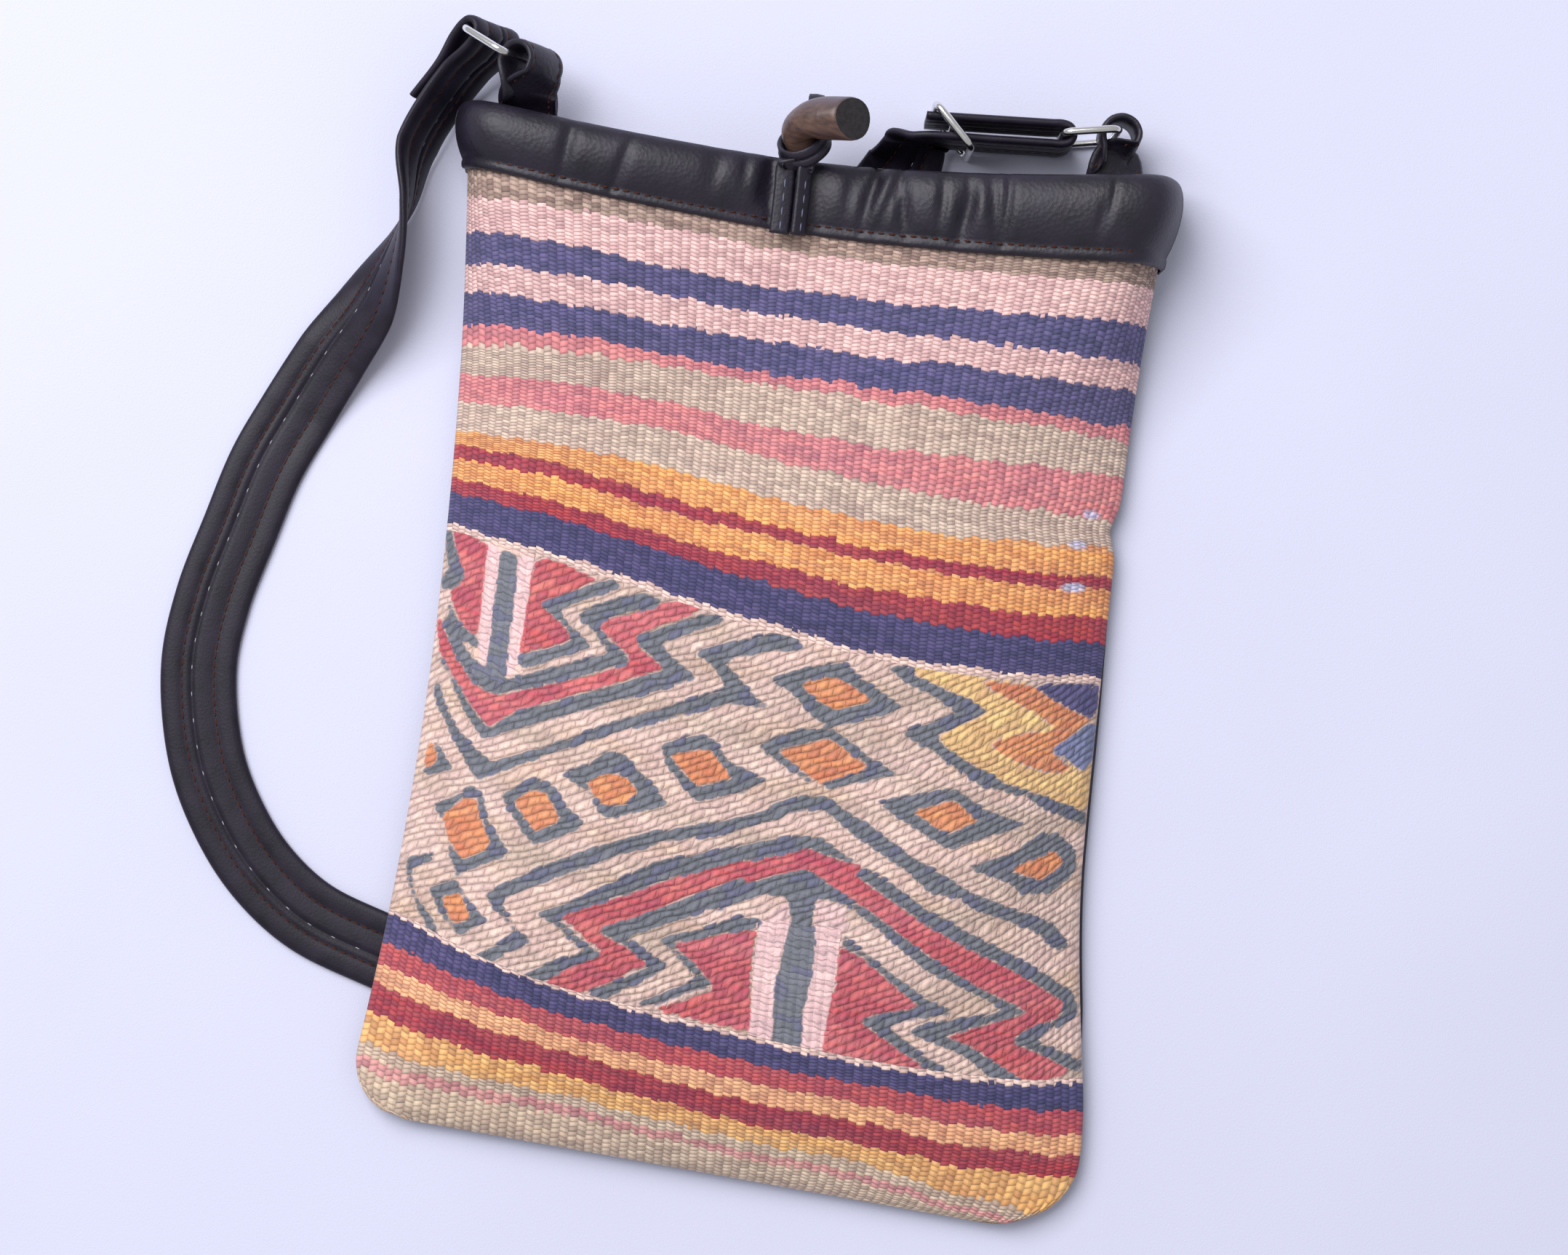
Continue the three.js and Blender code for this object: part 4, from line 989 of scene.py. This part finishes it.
def horn_end_material():
    f = Finish("horn_end")
    rings = f.noise(f.coords(), 700.0, detail=4.0, roughness=0.65)
    tone = f.ramp(rings, [(0.35, linear((0.11, 0.10, 0.105))), (0.65, linear((0.20, 0.18, 0.185)))])
    return f.done(base_color=tone, roughness=0.62, normal=f.bump(rings, 0.0002, 0.6))


def nickel_material():
    f = Finish("nickel")
    wear = f.noise(f.coords(), 600.0, detail=3.0)
    return f.done(base_color=(0.80, 0.79, 0.77, 1.0), metallic=1.0, roughness=0.14 + wear * 0.14)


def thread_material(name, colour):
    f = Finish(name)
    dark, light = (tuple(c * k for c in linear(colour)) for k in (0.6, 1.3))
    tone = f.mix(f.noise(f.coords(), 900.0), dark, light)
    return f.done(base_color=tone, roughness=0.8, specular_ior_level=0.2)


def floor_material(colour):
    f = Finish("floor_cloth")
    at = f.coords()
    pale = linear(colour)
    dark, light = (tuple(min(c * k, 1) for c in pale) for k in (0.95, 1.04))
    tone = f.mix(f.noise(at, 7.0, detail=3.0), dark, light)
    return f.done(base_color=tone, roughness=0.95, specular_ior_level=0.05,
                  normal=f.bump(f.noise(at, 1400.0), 0.0002, 0.4))


def leather_pair(context):
    """The leather and its thread, made once."""
    look = context.scene.kilim_bag.leather
    leather = bpy.data.materials.get("dark_leather")
    if leather is None:
        leather = leather_material("dark_leather", tuple(look.colour))
    thread = bpy.data.materials.get("brown_thread")
    if thread is None:
        thread = thread_material("brown_thread", tuple(look.thread))
    return [leather, thread]


# Weave


def weft_lines(x):
    """Heights of the woven borders at places across the front, from the base hem to the top hem."""
    samples = np.linspace(-122, 122, 62)
    lines = [settle(x, np.full_like(x, BASE_Y))]
    for _, border in reversed(STRIPES):
        places, heights = zip(*border)
        even = np.interp(samples, places, heights)
        padded = np.concatenate([[even[0]] * 3, even, [even[-1]] * 3])
        even = np.convolve(padded, [0.05, 0.12, 0.2, 0.26, 0.2, 0.12, 0.05], "valid")
        lines.append(np.maximum(np.interp(x, samples, even), lines[-1] + 0.4))
    lines.append(np.maximum(settle(x, np.full_like(x, PANEL_TOP_Y)), lines[-1] + 0.4))
    return np.array(lines)


def weft_place(share, level):
    """Place on the face of the bag of a share across, from -1 to 1, and a height on the middle rib."""
    centre = weft_lines(np.zeros(1))[:, 0]
    k = np.clip(np.searchsorted(centre, level) - 1, 0, len(centre) - 2)
    part = (level - centre[k]) / (centre[k + 1] - centre[k])
    x = share * 108
    each = np.arange(len(x))
    for _ in range(5):
        lines = weft_lines(x)
        y = lines[k, each] + part * (lines[k + 1, each] - lines[k, each])
        flat = np.clip(unsettle(x, y), BASE_Y, PANEL_TOP_Y)
        room = half_width(flat)
        wide = np.abs(share) * plain_half(flat)
        bulge = swell(share, flat)
        spare = plain_half(flat) - room
        soft = np.clip(spare * 1.4, 0.01, 7)
        over = np.maximum(wide - room + soft, 0) / soft
        most = (spare + soft) / soft
        wide = np.where(over > 0, room - soft + soft * (1 - np.exp(-over)) / (1 - np.exp(-most)), wide)
        x = np.sign(share) * np.minimum(wide, room) + bulge
    return x, y, flat, x - bulge


def even_share(share, flat):
    """Share across the bag of a share across the cloth, which also runs down the sides."""
    rows, steps = 24, 100
    across = 1 - (1 - np.linspace(0, 1, 300)) ** 3
    table = []
    for y in np.linspace(BASE_Y, PANEL_TOP_Y, rows + 1):
        x = across * half_width(y)
        run = np.hypot(np.diff(x), np.diff(front_z(x, np.full_like(x, y))))
        cloth = np.concatenate([[0], np.cumsum(run)])
        table.append(np.interp(np.linspace(0, 1, steps + 1), cloth / cloth[-1], across))
    row = (flat - BASE_Y) / (PANEL_TOP_Y - BASE_Y) * rows
    return np.sign(share) * look_up(np.array(table), row, np.abs(share) * steps)


def inside(points, polygon):
    """Which points lie inside a polygon."""
    x, y = points
    hit = np.zeros(len(x), bool)
    for (x0, y0), (x1, y1) in zip(polygon, polygon[1:] + polygon[:1]):
        if y0 == y1:
            continue
        crosses = (y0 > y) != (y1 > y)
        hit ^= crosses & (x < (x1 - x0) * (y - y0) / (y1 - y0) + x0)
    return hit


def brocade_cover(x, y):
    """Softened cover of each brocaded colour at places on the face, one row for each colour."""
    step, reach, spread = 0.5, 4, 1.6
    left, base, wide, tall = -128, -135, 512, 420
    shifts = np.arange(-reach, reach + 1)
    blur = np.exp(-((shifts / spread) ** 2) / 2)
    px, py = np.meshgrid(left + step * np.arange(wide), base + step * np.arange(tall))
    spots = (px.ravel(), py.ravel())
    label = np.zeros(px.size, int)
    for name, polygon in MOTIFS:
        label[inside(spots, polygon)] = BROCADE.index(name) + 1 if name in BROCADE else 0
    label = label.reshape(px.shape)
    covers = []
    for k in range(len(BROCADE)):
        cover = (label == k + 1).astype(float)
        for axis in (0, 1):
            cover = sum(weight * np.roll(cover, shift, axis)
                        for shift, weight in zip(shifts, blur / blur.sum()))
        covers.append(look_up(cover, (y - base) / step, (x - left) / step))
    return covers


def lay_brocade(mesh, x, y, level):
    """Stores the cover of the brocaded colours, of their band and of the upright bars at the vertices."""
    names = [name for name, _ in STRIPES]
    borders = weft_lines(np.zeros(1))[1:-1, 0][::-1]
    top, low = borders[names.index("motif")], borders[names.index("motif") + 1]
    band = np.clip((np.minimum(level - low, top - level) + 1.0) / 2.0, 0, 1)
    covers = brocade_cover(x, y) + [band]
    for name, four in (("brocade_a", covers[:4]), ("brocade_b", covers[4:])):
        layer = mesh.color_attributes.new(name, "FLOAT_COLOR", "POINT")
        layer.data.foreach_set("color", np.stack(four, axis=1).astype(np.float32).ravel())
    bars = [(x > left) & (x < right) & (y > base) & (y < head) for left, right, base, head in BARS]
    layer = mesh.attributes.new("bars", "FLOAT", "POINT")
    layer.data.foreach_set("value", np.any(bars, axis=0).astype(np.float32))


# Front, back and band


class BAG_OT_kilim(bpy.types.Operator):
    """Weave the ribbed kilim front with its stripes and brocaded band"""

    bl_idname = "bag.kilim"
    bl_label = "Kilim front"

    def execute(self, context):
        weave = context.scene.kilim_bag.weave
        columns, rows = weave.ribs * 4, 216
        low, high = (float(settle(np.zeros(1), np.full(1, y))[0]) for y in (BASE_Y, PANEL_TOP_Y))
        held = {}

        def place(u, v):
            level = low + v * (high - low)
            share = even_share(2 * u - 1, unsettle(np.zeros_like(level), level))
            x, y, flat, narrow = weft_place(share, level)
            rib = np.abs(np.sin(math.pi * u * weave.ribs)) ** 0.7
            edge = np.minimum(half_width(flat) - np.abs(narrow), flat - BASE_Y)
            roll = 1 - np.clip(edge / EDGE_ROLL, 0, 1)
            brocade = (level > BROCADE_LOW) & (level < BROCADE_HIGH)
            deep = weave.rib_depth / MM * np.where(brocade, BROCADE_RIB, 1.0)
            z = front_z(narrow, flat) + KILIM_THICK + deep * (rib - 0.6)
            calm = smooth(edge, 2, 30) * (1 - smooth(flat, 110, 140))
            z = z - TUCK_DROP * smooth(flat, BAND_LOW_Y - 1.5, BAND_LOW_Y + 2)
            z = z + soft_dents(x, y) * calm - EDGE_DROP * (1 - np.sqrt(1 - roll ** 2 * 0.98))
            held.update(ribs=u * weave.ribs, level=level, x=x, y=y)
            return np.stack([x, y, z], axis=1)

        bm = bent_grid(columns, rows, place)
        piece = place_piece("kilim_front", bm, [kilim_material(weave, low, high)], ["front_panel"])
        mesh = piece.data
        set_corner_uv(mesh, np.stack([held["ribs"], held["level"] / (weave.row_height / MM)], axis=1))
        lay_brocade(mesh, held["x"], held["y"], held["level"])
        return {"FINISHED"}


def lay_back(context):
    """The leather back, with a groove where the strap runs under it."""
    # Middle of the strap seen from above, without its ends at the rings
    strap = strap_strip(500).middle[60:440, :2]

    def place(u, v):
        share, upper = there_and_back(u)
        y = BASE_Y + (PANEL_TOP_Y - BASE_Y) * (1 - (1 - v) ** 1.3)
        # The back shows past the front on the right, from the waist to a little above the base
        edge = -0.7 + 1.7 * np.maximum(share, 0) * smooth(-y, -60, 20) * (1 - smooth(-y, 95, 125))
        x = share * (half_width(y) + edge) + swell(share, y)
        flat = settle(x, y)
        near = np.min(np.hypot(x[:, None] - strap[:, 0], flat[:, None] - strap[:, 1]), axis=1)
        groove = STRAP_GROOVE * (1 - smooth(near, GROOVE_INSIDE, GROOVE_OUTSIDE))
        base = np.maximum(back_z(y), groove) + 0.12
        top = back_z(y) + BACK_THICK
        thin = 1 - np.clip((np.abs(share) - 0.975) / 0.025, 0, 1) ** 2
        rim = base + (top - base) * 0.75
        z = rim + (np.where(upper, top, base) - rim) * thin
        return np.stack([x, flat, z], axis=1)

    bm = bent_grid(240, 120, place, closed=True, capped=True)
    place_piece("leather_back", bm, leather_pair(context), ["back_panel"])


def lay_lining():
    """The lining pouch, open at the mouth."""

    def place(u, v):
        share, upper = there_and_back(u)
        share = np.sign(share) * (1 - (1 - np.abs(share)) ** 1.5)
        y = BASE_Y + POUCH_FOOT + (MOUTH_Y - POUCH_HEAD - BASE_Y - POUCH_FOOT) * v
        x = share * (lining_half(y) - POUCH_INSET)
        low = lining_z(y) + 0.5
        high = np.maximum(front_z(x, y) - LINING_SLACK, low + 0.6)
        close = 1 - np.abs(share) ** 8
        middle = (low + high) / 2
        z = middle + np.where(upper, high - middle, low - middle) * np.maximum(close, 0.02)
        return np.stack([x, settle(x, y), z], axis=1)

    bm = bent_grid(160, 80, place, closed=True)
    bmesh.ops.holes_fill(bm, edges=[e for e in bm.edges if e.is_boundary and e.verts[0].co.y < 0])
    bmesh.ops.reverse_faces(bm, faces=bm.faces)
    place_piece("lining_pouch", bm, [lining_material()], ["lining"])


class BAG_OT_back(bpy.types.Operator):
    """Lay the leather back and the lining pouch"""

    bl_idname = "bag.back"
    bl_label = "Back and lining"

    def execute(self, context):
        lay_back(context)
        lay_lining()
        return {"FINISHED"}


def gather_folds():
    """Folds of the band: place, width, weight, middle and reach down the band, lean."""
    rng = np.random.default_rng(7)
    folds = []
    for centre, spread, many in GATHERS:
        folds += [(rng.normal(centre, spread / 2), rng.uniform(0.9, 2.5), rng.uniform(0.25, 0.8),
                   rng.uniform(0.1, 0.7), rng.uniform(0.2, 0.5), rng.normal(0, 0.22))
                  for _ in range(many)]
    return folds


class BAG_OT_band(bpy.types.Operator):
    """Gather the padded leather band round the mouth"""

    bl_idname = "bag.band"
    bl_label = "Mouth band"

    def execute(self, context):
        depth = context.scene.kilim_bag.leather.pucker / MM
        folds = gather_folds()

        def place(u, v):
            share, upper = there_and_back(u)
            across = np.sign(share) * (1 - (1 - np.abs(share)) ** 1.9)
            down, out = BAND_SECTION[step_at(v, len(BAND_SECTION))].T
            y = MOUTH_Y - BAND_HEIGHT * down
            plump = np.where(upper, out, np.minimum(out, 1.0))
            half = half_width(y)
            tied = bell(across * half, COLLAR_AT[0], 10)
            plump = np.where(plump > 1.1, 1.1 + (plump - 1.1) * (1 - 0.75 * tied), plump)
            offset = BAND_SLACK * 0.6 + BAND_THICK * plump
            x = across * (half + np.maximum(offset * 0.8, -2.5))
            fold = np.zeros_like(x)
            for centre, width, weight, from_top, reach, lean in folds:
                line = centre + lean * (y - MOUTH_Y)
                fold += weight * bell(x, line, width) * bell(down, from_top, reach)
            crease = np.where((out > -0.5) & upper, np.minimum(fold, 1.4) * depth, 0)
            x_in = np.clip(across, -0.999, 0.999) * half
            top = front_z(x_in, y) + KILIM_THICK + offset - crease
            low = np.maximum(back_z(y) - GAP - offset * 0.6, 0.15)
            z = np.where(upper, np.maximum(top, low + 0.5), low)
            fall = BAND_SLANT * down * (across + 1) / 2
            return np.stack([x, settle(x, y) - fall, z], axis=1)

        bm = bent_grid(560, len(BAND_SECTION) - 1, place, closed=True)
        y = MOUTH_Y - BAND_HEIGHT * BAND_STITCH_AT
        for x in np.arange(-BAND_STITCH_REACH, BAND_STITCH_REACH, BAND_STITCH_PITCH):
            fall = BAND_SLANT * BAND_STITCH_AT * (x / half_width(y) + 1) / 2
            z = front_z(x, y) + KILIM_THICK + BAND_SLACK * 0.6 + BAND_THICK * 0.92
            add_stitch(bm, (x, settle(x, y) - fall, z), (1, -0.03, 0), (0, 0, 1), length=2.4, radius=0.35)
        piece = place_piece("leather_band", bm, leather_pair(context), ["mouth_band"])
        return {"FINISHED"}


# Strap, tabs and metal


def strap_profile(width, thick):
    """Section of the strap: two soft edges, a dip at each stitch row and the seam where the edges meet."""
    w, t, row, seam = width / 2, thick / 2, STITCH_ROW, STITCH_SEAM
    edge = [(w, 0.0), (w - 0.3, 0.55), (w - 1.0, 0.92), (w - 2.4, 1.12), (w - 4.4, 1.1), (row + 0.7, 0.95),
            (row, 0.72), (row - 0.7, 0.92)]
    middle = [(seam + 0.5, 0.92), (seam, 0.45), (seam - 0.5, 0.92), (0.0, 0.95)]
    face = edge + middle + [(-across, out) for across, out in reversed(edge)]
    back = [(across, -out) for across, out in reversed(face[1:-1])]
    return [(across, out * t) for across, out in face + back]


class BAG_OT_strap(bpy.types.Operator):
    """Run the leather strap from ring to ring"""

    bl_idname = "bag.strap"
    bl_label = "Strap"

    def execute(self, context):
        # Steps between stations, stations before and after the lay, and where in the lay it is cut
        steps, before, after, left_cut, right_cut = 18, 10, 11, 15, 26
        total = (before + len(STRAP_LAY) + after - 1) * steps
        strip = strap_strip(total + 1)
        cut_one, cut_two = ((before + spot) * steps for spot in (left_cut, right_cut))
        profile = strap_profile(STRAP_WIDTH, STRAP_THICK)
        colour = tuple(context.scene.kilim_bag.leather.colour)
        finishes = [leather_material("strap_leather", colour, scale=1.6, grain=0.00005, shine=0.34),
                    leather_pair(context)[1], thread_material("white_thread", (0.72, 0.72, 0.76))]
        pieces = {}
        for name, first, last in (("strap_left", 0, cut_one), ("strap_under", cut_one, cut_two),
                                  ("strap_right", cut_two, total)):
            part = strip.part(first, last)
            bm = shape_of(profile, part)
            if name != "strap_under":
                start, stop = part.length[0] + 3, part.length[-1] - 2
                for out in (STRAP_THICK * 0.4, -STRAP_THICK * 0.4):
                    sew_strip(bm, part, (STITCH_ROW, -STITCH_ROW), out, pitch=3.2, first=start, last=stop,
                              long=0.94, radius=0.3)
                    sew_strip(bm, part, (STITCH_SEAM,), out * 0.8, pitch=8.3, first=start, last=stop,
                              long=0.22, radius=0.17, slot=2)
            body = "bag" if name == "strap_under" else None
            pieces[name] = place_piece(name, bm, finishes, ["strap"], body)
        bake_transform(pieces["strap_left"])
        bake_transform(pieces["strap_right"])
        return {"FINISHED"}


class BAG_OT_tabs(bpy.types.Operator):
    """Fold the two leather tabs that hold the rings"""

    bl_idname = "bag.tabs"
    bl_label = "Ring tabs"

    def execute(self, context):
        w, t = TAB_WIDTH / 2, TAB_THICK / 2
        row = w - TAB_STITCH_INSET
        edge = [(w, 0.0), (w - 0.3, 0.7), (w - 1.6, 1.0), (row, 0.75), (w - 3.0, 1.0)]
        face = edge + [(0.0, 1.12)] + [(-across, out) for across, out in reversed(edge)]
        profile = [(across, out * t) for across, out in face] + [(1.0 - w, -t), (0.0, -t), (w - 1.0, -t)]
        for name, side, turn, curl in (("left_tab", -1, LEFT_TAB_TURN, LEFT_TAB_CURL),
                                       ("right_tab", 1, RIGHT_TAB_TURN, 0)):
            strip = tab_strip(side, turn, curl)
            bm = shape_of(profile, strip)
            sew_strip(bm, strip, (row, -row), t * 0.85, pitch=3.0, first=6, last=strip.length[-1] - 5)
            place_piece("leather_" + name, bm, leather_pair(context), [name])
        return {"FINISHED"}


def wire_loop(length, pitch, axes, middle):
    """A rectangular wire loop with rounded corners: bar direction, cross direction, middle."""
    bar, cross = unit(axes)
    normal = np.cross(bar, cross)
    path, outward = [], []
    for sx, sy, start in ((1, 1, 0), (-1, 1, 90), (-1, -1, 180), (1, -1, 270)):
        for degrees in np.linspace(start, start + 90, 9):
            a = math.radians(degrees)
            out = bar * math.cos(a) + cross * math.sin(a)
            path.append(middle + bar * sx * (length / 2 - RING_CORNER)
                        + cross * sy * (pitch / 2 - RING_CORNER) + out * RING_CORNER)
            outward.append(out)
    path, outward = (np.array(rows + [rows[0]]) for rows in (path, outward))

    def place(u, v):
        i = step_at(u, len(path))
        a = v[:, None] * 2 * math.pi
        return path[i] + (outward[i] * np.cos(a) + normal * np.sin(a)) * WIRE / 2

    return bent_grid(len(path) - 1, 16, place, closed=True)


class BAG_OT_metal(bpy.types.Operator):
    """Bend the two rings and the strap slide from wire"""

    bl_idname = "bag.metal"
    bl_label = "Rings and slide"

    def execute(self, context):
        nickel = nickel_material()
        length = 2 * RING_HALF - WIRE
        for name, ring in (("left_ring", LEFT_RING), ("right_ring", RIGHT_RING)):
            middle = (np.array(ring["near"]) + ring_far(ring)) / 2
            bm = wire_loop(length, RING_PITCH, (ring["bar"], ring["reach"]), middle)
            place_piece("nickel_" + name, bm, [nickel], [name], name)
        run = unit(RIGHT_RUN)
        tilt = -math.asin(2 * EYE_RADIUS / SLIDE_PITCH)
        cross = (run[0] * math.cos(tilt) - run[1] * math.sin(tilt),
                 run[0] * math.sin(tilt) + run[1] * math.cos(tilt), 0)
        middle = ring_far(RIGHT_RING) + run * SLIDE_FROM_RING
        bm = wire_loop(length, 2 * SLIDE_PITCH, (RIGHT_RING["bar"], cross), middle)
        spot = Matrix.Translation(Vector(middle * MM))
        bmesh.ops.create_cone(bm, cap_ends=True, segments=16, radius1=WIRE / 2 * MM, radius2=WIRE / 2 * MM,
                              depth=length * MM, matrix=spot)
        place_piece("nickel_slide", bm, [nickel], ["strap_slide"], "slide")
        return {"FINISHED"}


# Closure


def hoop(radius, thick, width, middle, axis, profile):
    """A leather collar round an axis, from its profile of (along, out) points."""
    axis = unit(axis)
    side = unit(np.cross(axis, (0.2, -1.0, 0.1)))
    face = np.cross(axis, side)
    profile = np.array(profile)

    def place(u, v):
        along, out = profile[step_at(v, len(profile))].T
        a = u * 2 * math.pi
        reach = radius + thick * out
        return (np.array(middle) + axis * (along * width / 2)[:, None]
                + side * (reach * np.cos(a))[:, None] + face * (reach * np.sin(a))[:, None])

    return bent_grid(64, len(profile) - 1, place, closed=True)


def add_strip(bm, strip, width, thick):
    """Adds a plain leather strip to a bmesh."""
    w, t = width / 2, thick / 2
    edge = [(w, 0), (w - 0.3, t * 0.8), (w - 0.9, t)]
    face = edge + [(0, t * 1.15)] + [(-across, out) for across, out in reversed(edge)]
    leg = shape_of(face + [(-across, -out) for across, out in face[1:-1]], strip)
    joined = bpy.data.meshes.new("strip")
    leg.to_mesh(joined)
    leg.free()
    bm.from_mesh(joined)
    bpy.data.meshes.remove(joined)


def add_horn():
    """The curved horn, round its collar at one end and cut flat at the other."""
    collar, lean = np.array(COLLAR_AT), unit(COLLAR_LEAN)
    spine = curve_points([collar - lean * NECK_BELOW, collar, collar + lean * NECK_ABOVE, TOGGLE_ELBOW,
                          TOGGLE_ARM, TOGGLE_END], 61)
    along = unit(np.gradient(spine, axis=0))
    side = unit(np.cross((0, 1.0, 0), along))
    face = np.cross(along, side)

    def place(u, v):
        i = step_at(u, len(spine))
        a = v * 2 * math.pi
        size = NECK_RADIUS + (TOGGLE_END_RADIUS - NECK_RADIUS) * smooth(u, 0.5, 0.8)
        size = size * (0.8 + 0.2 * smooth(u, 0, 0.06))
        size = size * (1 - 0.05 * smooth(u, 0.975, 1.0)) * (1 + 0.025 * np.sin(3 * a + u * 5))
        around = side[i] * (np.cos(a) * size)[:, None] + face[i] * (np.sin(a) * size)[:, None]
        oblique = -0.5 * around[:, 2] * smooth(u, 0.72, 1)
        return spine[i] + around + along[i] * oblique[:, None]

    bm = bent_grid(len(spine) - 1, 28, place, closed=True, capped=True)
    for flat in bm.faces:
        if len(flat.verts) > 4 and flat.calc_center_median().x > 0:
            flat.material_index = 1
    finishes = [horn_material(), horn_end_material()]
    piece = place_piece("horn_toggle", bm, finishes, ["toggle"], "toggle")
    for polygon in piece.data.polygons:
        polygon.use_smooth = polygon.loop_total <= 4


def add_tie(context):
    """The doubled tie: two sewn legs up the band, and the collar that holds the horn."""
    collar, lean = np.array(COLLAR_AT), unit(COLLAR_LEAN)
    radius = NECK_RADIUS + COLLAR_CLEAR
    tie_x = COLLAR_AT[0] - TIE_THICK
    front = unit(np.array((0, -1.0, 0)) + lean * lean[1])
    meet = collar + front * (radius + TIE_THICK / 2 + TIE_CLEAR)
    foot = BAND_LOW_Y - BAND_SLANT / 2
    bm = hoop(radius, TIE_THICK, COLLAR_WIDTH, collar, lean, WRAPPED_HOOP)
    for offset, wide, turn, rise in TIE_LEGS:
        stations = []
        across = (math.cos(math.radians(turn)), 0, math.sin(math.radians(turn)))
        for part in (0.0, 0.3, 0.6, 0.86):
            y = foot + (MOUTH_Y - foot) * part
            z = band_top_z(tie_x, y) + TIE_LIFT + TIE_CLEAR + TIE_THICK / 2 + rise + part
            stations.append(((tie_x + offset, settle(tie_x, y) - 1.5 * (1 - part), z), across))
        stations += [(meet - lean * COLLAR_WIDTH / 2 + np.array((offset * 0.9, 0, 0)), (1, 0, 0)),
                     (meet + np.array((offset * 0.8, 0, 0)), (1, 0, 0))]
        leg = Strip(stations, 40)
        add_strip(bm, leg, wide, TIE_THICK)
        for out in (TIE_THICK / 2, -TIE_THICK / 2):
            sew_strip(bm, leg, (0.0,), out * 1.1, pitch=4.3, first=2.5, last=leg.length[-1] - 6,
                      long=0.74, radius=0.3)
    finishes = [leather_pair(context)[0], thread_material("pale_thread", (0.46, 0.47, 0.56))]
    place_piece("leather_tie", bm, finishes, ["toggle_tie"])


def add_loop(context):
    """The closure loop, a strip from inside the mouth with an eye behind the horn."""
    loop_y, loop_z = LOOP_AT
    middle = LOOP_RADIUS + TIE_THICK / 2
    places = []
    for y in (PANEL_TOP_Y, (PANEL_TOP_Y + MOUTH_Y) / 2, MOUTH_Y):
        height = lining_z(y) + LINING_THICK + TIE_CLEAR + TIE_THICK / 2
        places.append((LOOP_X, settle(LOOP_X, y), height))
    places += [(LOOP_X, loop_y - middle * 1.6, loop_z - middle * 1.9),
               (LOOP_X, loop_y - middle * 0.7, loop_z - middle * 0.7)]
    bm = hoop(LOOP_RADIUS, TIE_THICK, LOOP_WIDTH, (LOOP_X, loop_y, loop_z), (1, 0, 0), PLAIN_HOOP)
    add_strip(bm, Strip([(place, (1, 0, 0)) for place in places], 40), LOOP_WIDTH - 1, TIE_THICK)
    place_piece("leather_loop", bm, leather_pair(context), ["closure_loop"])


class BAG_OT_closure(bpy.types.Operator):
    """Make the horn toggle, its leather tie and the closure loop"""

    bl_idname = "bag.closure"
    bl_label = "Toggle closure"

    def execute(self, context):
        add_horn()
        add_tie(context)
        add_loop(context)
        return {"FINISHED"}


# Stage, panel and registration


class BAG_OT_stage(bpy.types.Operator):
    """Set the floor, the lamps and the camera above the bag"""

    bl_idname = "bag.stage"
    bl_label = "Stage"

    def execute(self, context):
        scene = context.scene
        look = scene.kilim_bag.stage
        bm = bmesh.new()
        bmesh.ops.create_grid(bm, x_segments=1, y_segments=1, size=FLOOR_HALF)
        floor = place_piece("floor", bm, [floor_material(tuple(look.floor))], body=None)
        world = bpy.data.worlds.new("even_light")
        world.use_nodes = True
        sky = world.node_tree.nodes["Background"].inputs
        sky["Color"].default_value = SKY_TINT
        sky["Strength"].default_value = look.sky
        scene.world = world
        lamp = bpy.data.lights.new("key", "AREA")
        lamp.energy = look.key
        lamp.size = KEY_SIZE
        lamp.color = KEY_TINT
        key = bpy.data.objects.new("key", lamp)
        key.location = KEY_AT
        key.rotation_euler = (-Vector(KEY_AT)).to_track_quat("-Z", "Y").to_euler()
        scene.collection.objects.link(key)
        camera = bpy.data.cameras.new("camera")
        camera.lens = CAMERA_LENS
        camera.sensor_width = 36.0
        camera.sensor_fit = "HORIZONTAL"
        view = bpy.data.objects.new("camera", camera)
        view.location = CAMERA_AT
        view.rotation_euler = (0, 0, math.radians(CAMERA_TURN))
        scene.collection.objects.link(view)
        scene.camera = view
        scene.view_settings.view_transform = "Standard"
        return {"FINISHED"}


class BAG_PT_panel(bpy.types.Panel):
    """Steps of the bag in the sidebar"""

    bl_idname = "BAG_PT_panel"
    bl_label = "Kilim bag"
    bl_space_type = "VIEW_3D"
    bl_region_type = "UI"
    bl_category = "Kilim bag"

    def draw(self, context):
        settings = context.scene.kilim_bag
        for group in (settings.weave, settings.leather, settings.stage):
            box = self.layout.box()
            for name in group.__annotations__:
                box.prop(group, name)
        for step in STEPS:
            self.layout.operator(step.bl_idname)


STEPS = (BAG_OT_kilim, BAG_OT_back, BAG_OT_band, BAG_OT_strap, BAG_OT_tabs, BAG_OT_metal, BAG_OT_closure,
         BAG_OT_stage)
CLASSES = (KilimWeave, LeatherLook, StageLook, BagSettings) + STEPS + (BAG_PT_panel,)


def register():
    for cls in CLASSES:
        bpy.utils.register_class(cls)
    bpy.types.Scene.kilim_bag = bpy.props.PointerProperty(
        name="Kilim bag", description="Settings of the kilim bag", type=BagSettings)


def unregister():
    del bpy.types.Scene.kilim_bag
    for cls in reversed(CLASSES):
        bpy.utils.unregister_class(cls)


def main():
    register()
    bpy.ops.bag.kilim()
    bpy.ops.bag.back()
    bpy.ops.bag.band()
    bpy.ops.bag.strap()
    bpy.ops.bag.tabs()
    bpy.ops.bag.metal()
    bpy.ops.bag.closure()
    bpy.ops.bag.stage()


if __name__ == "__main__":
    main()
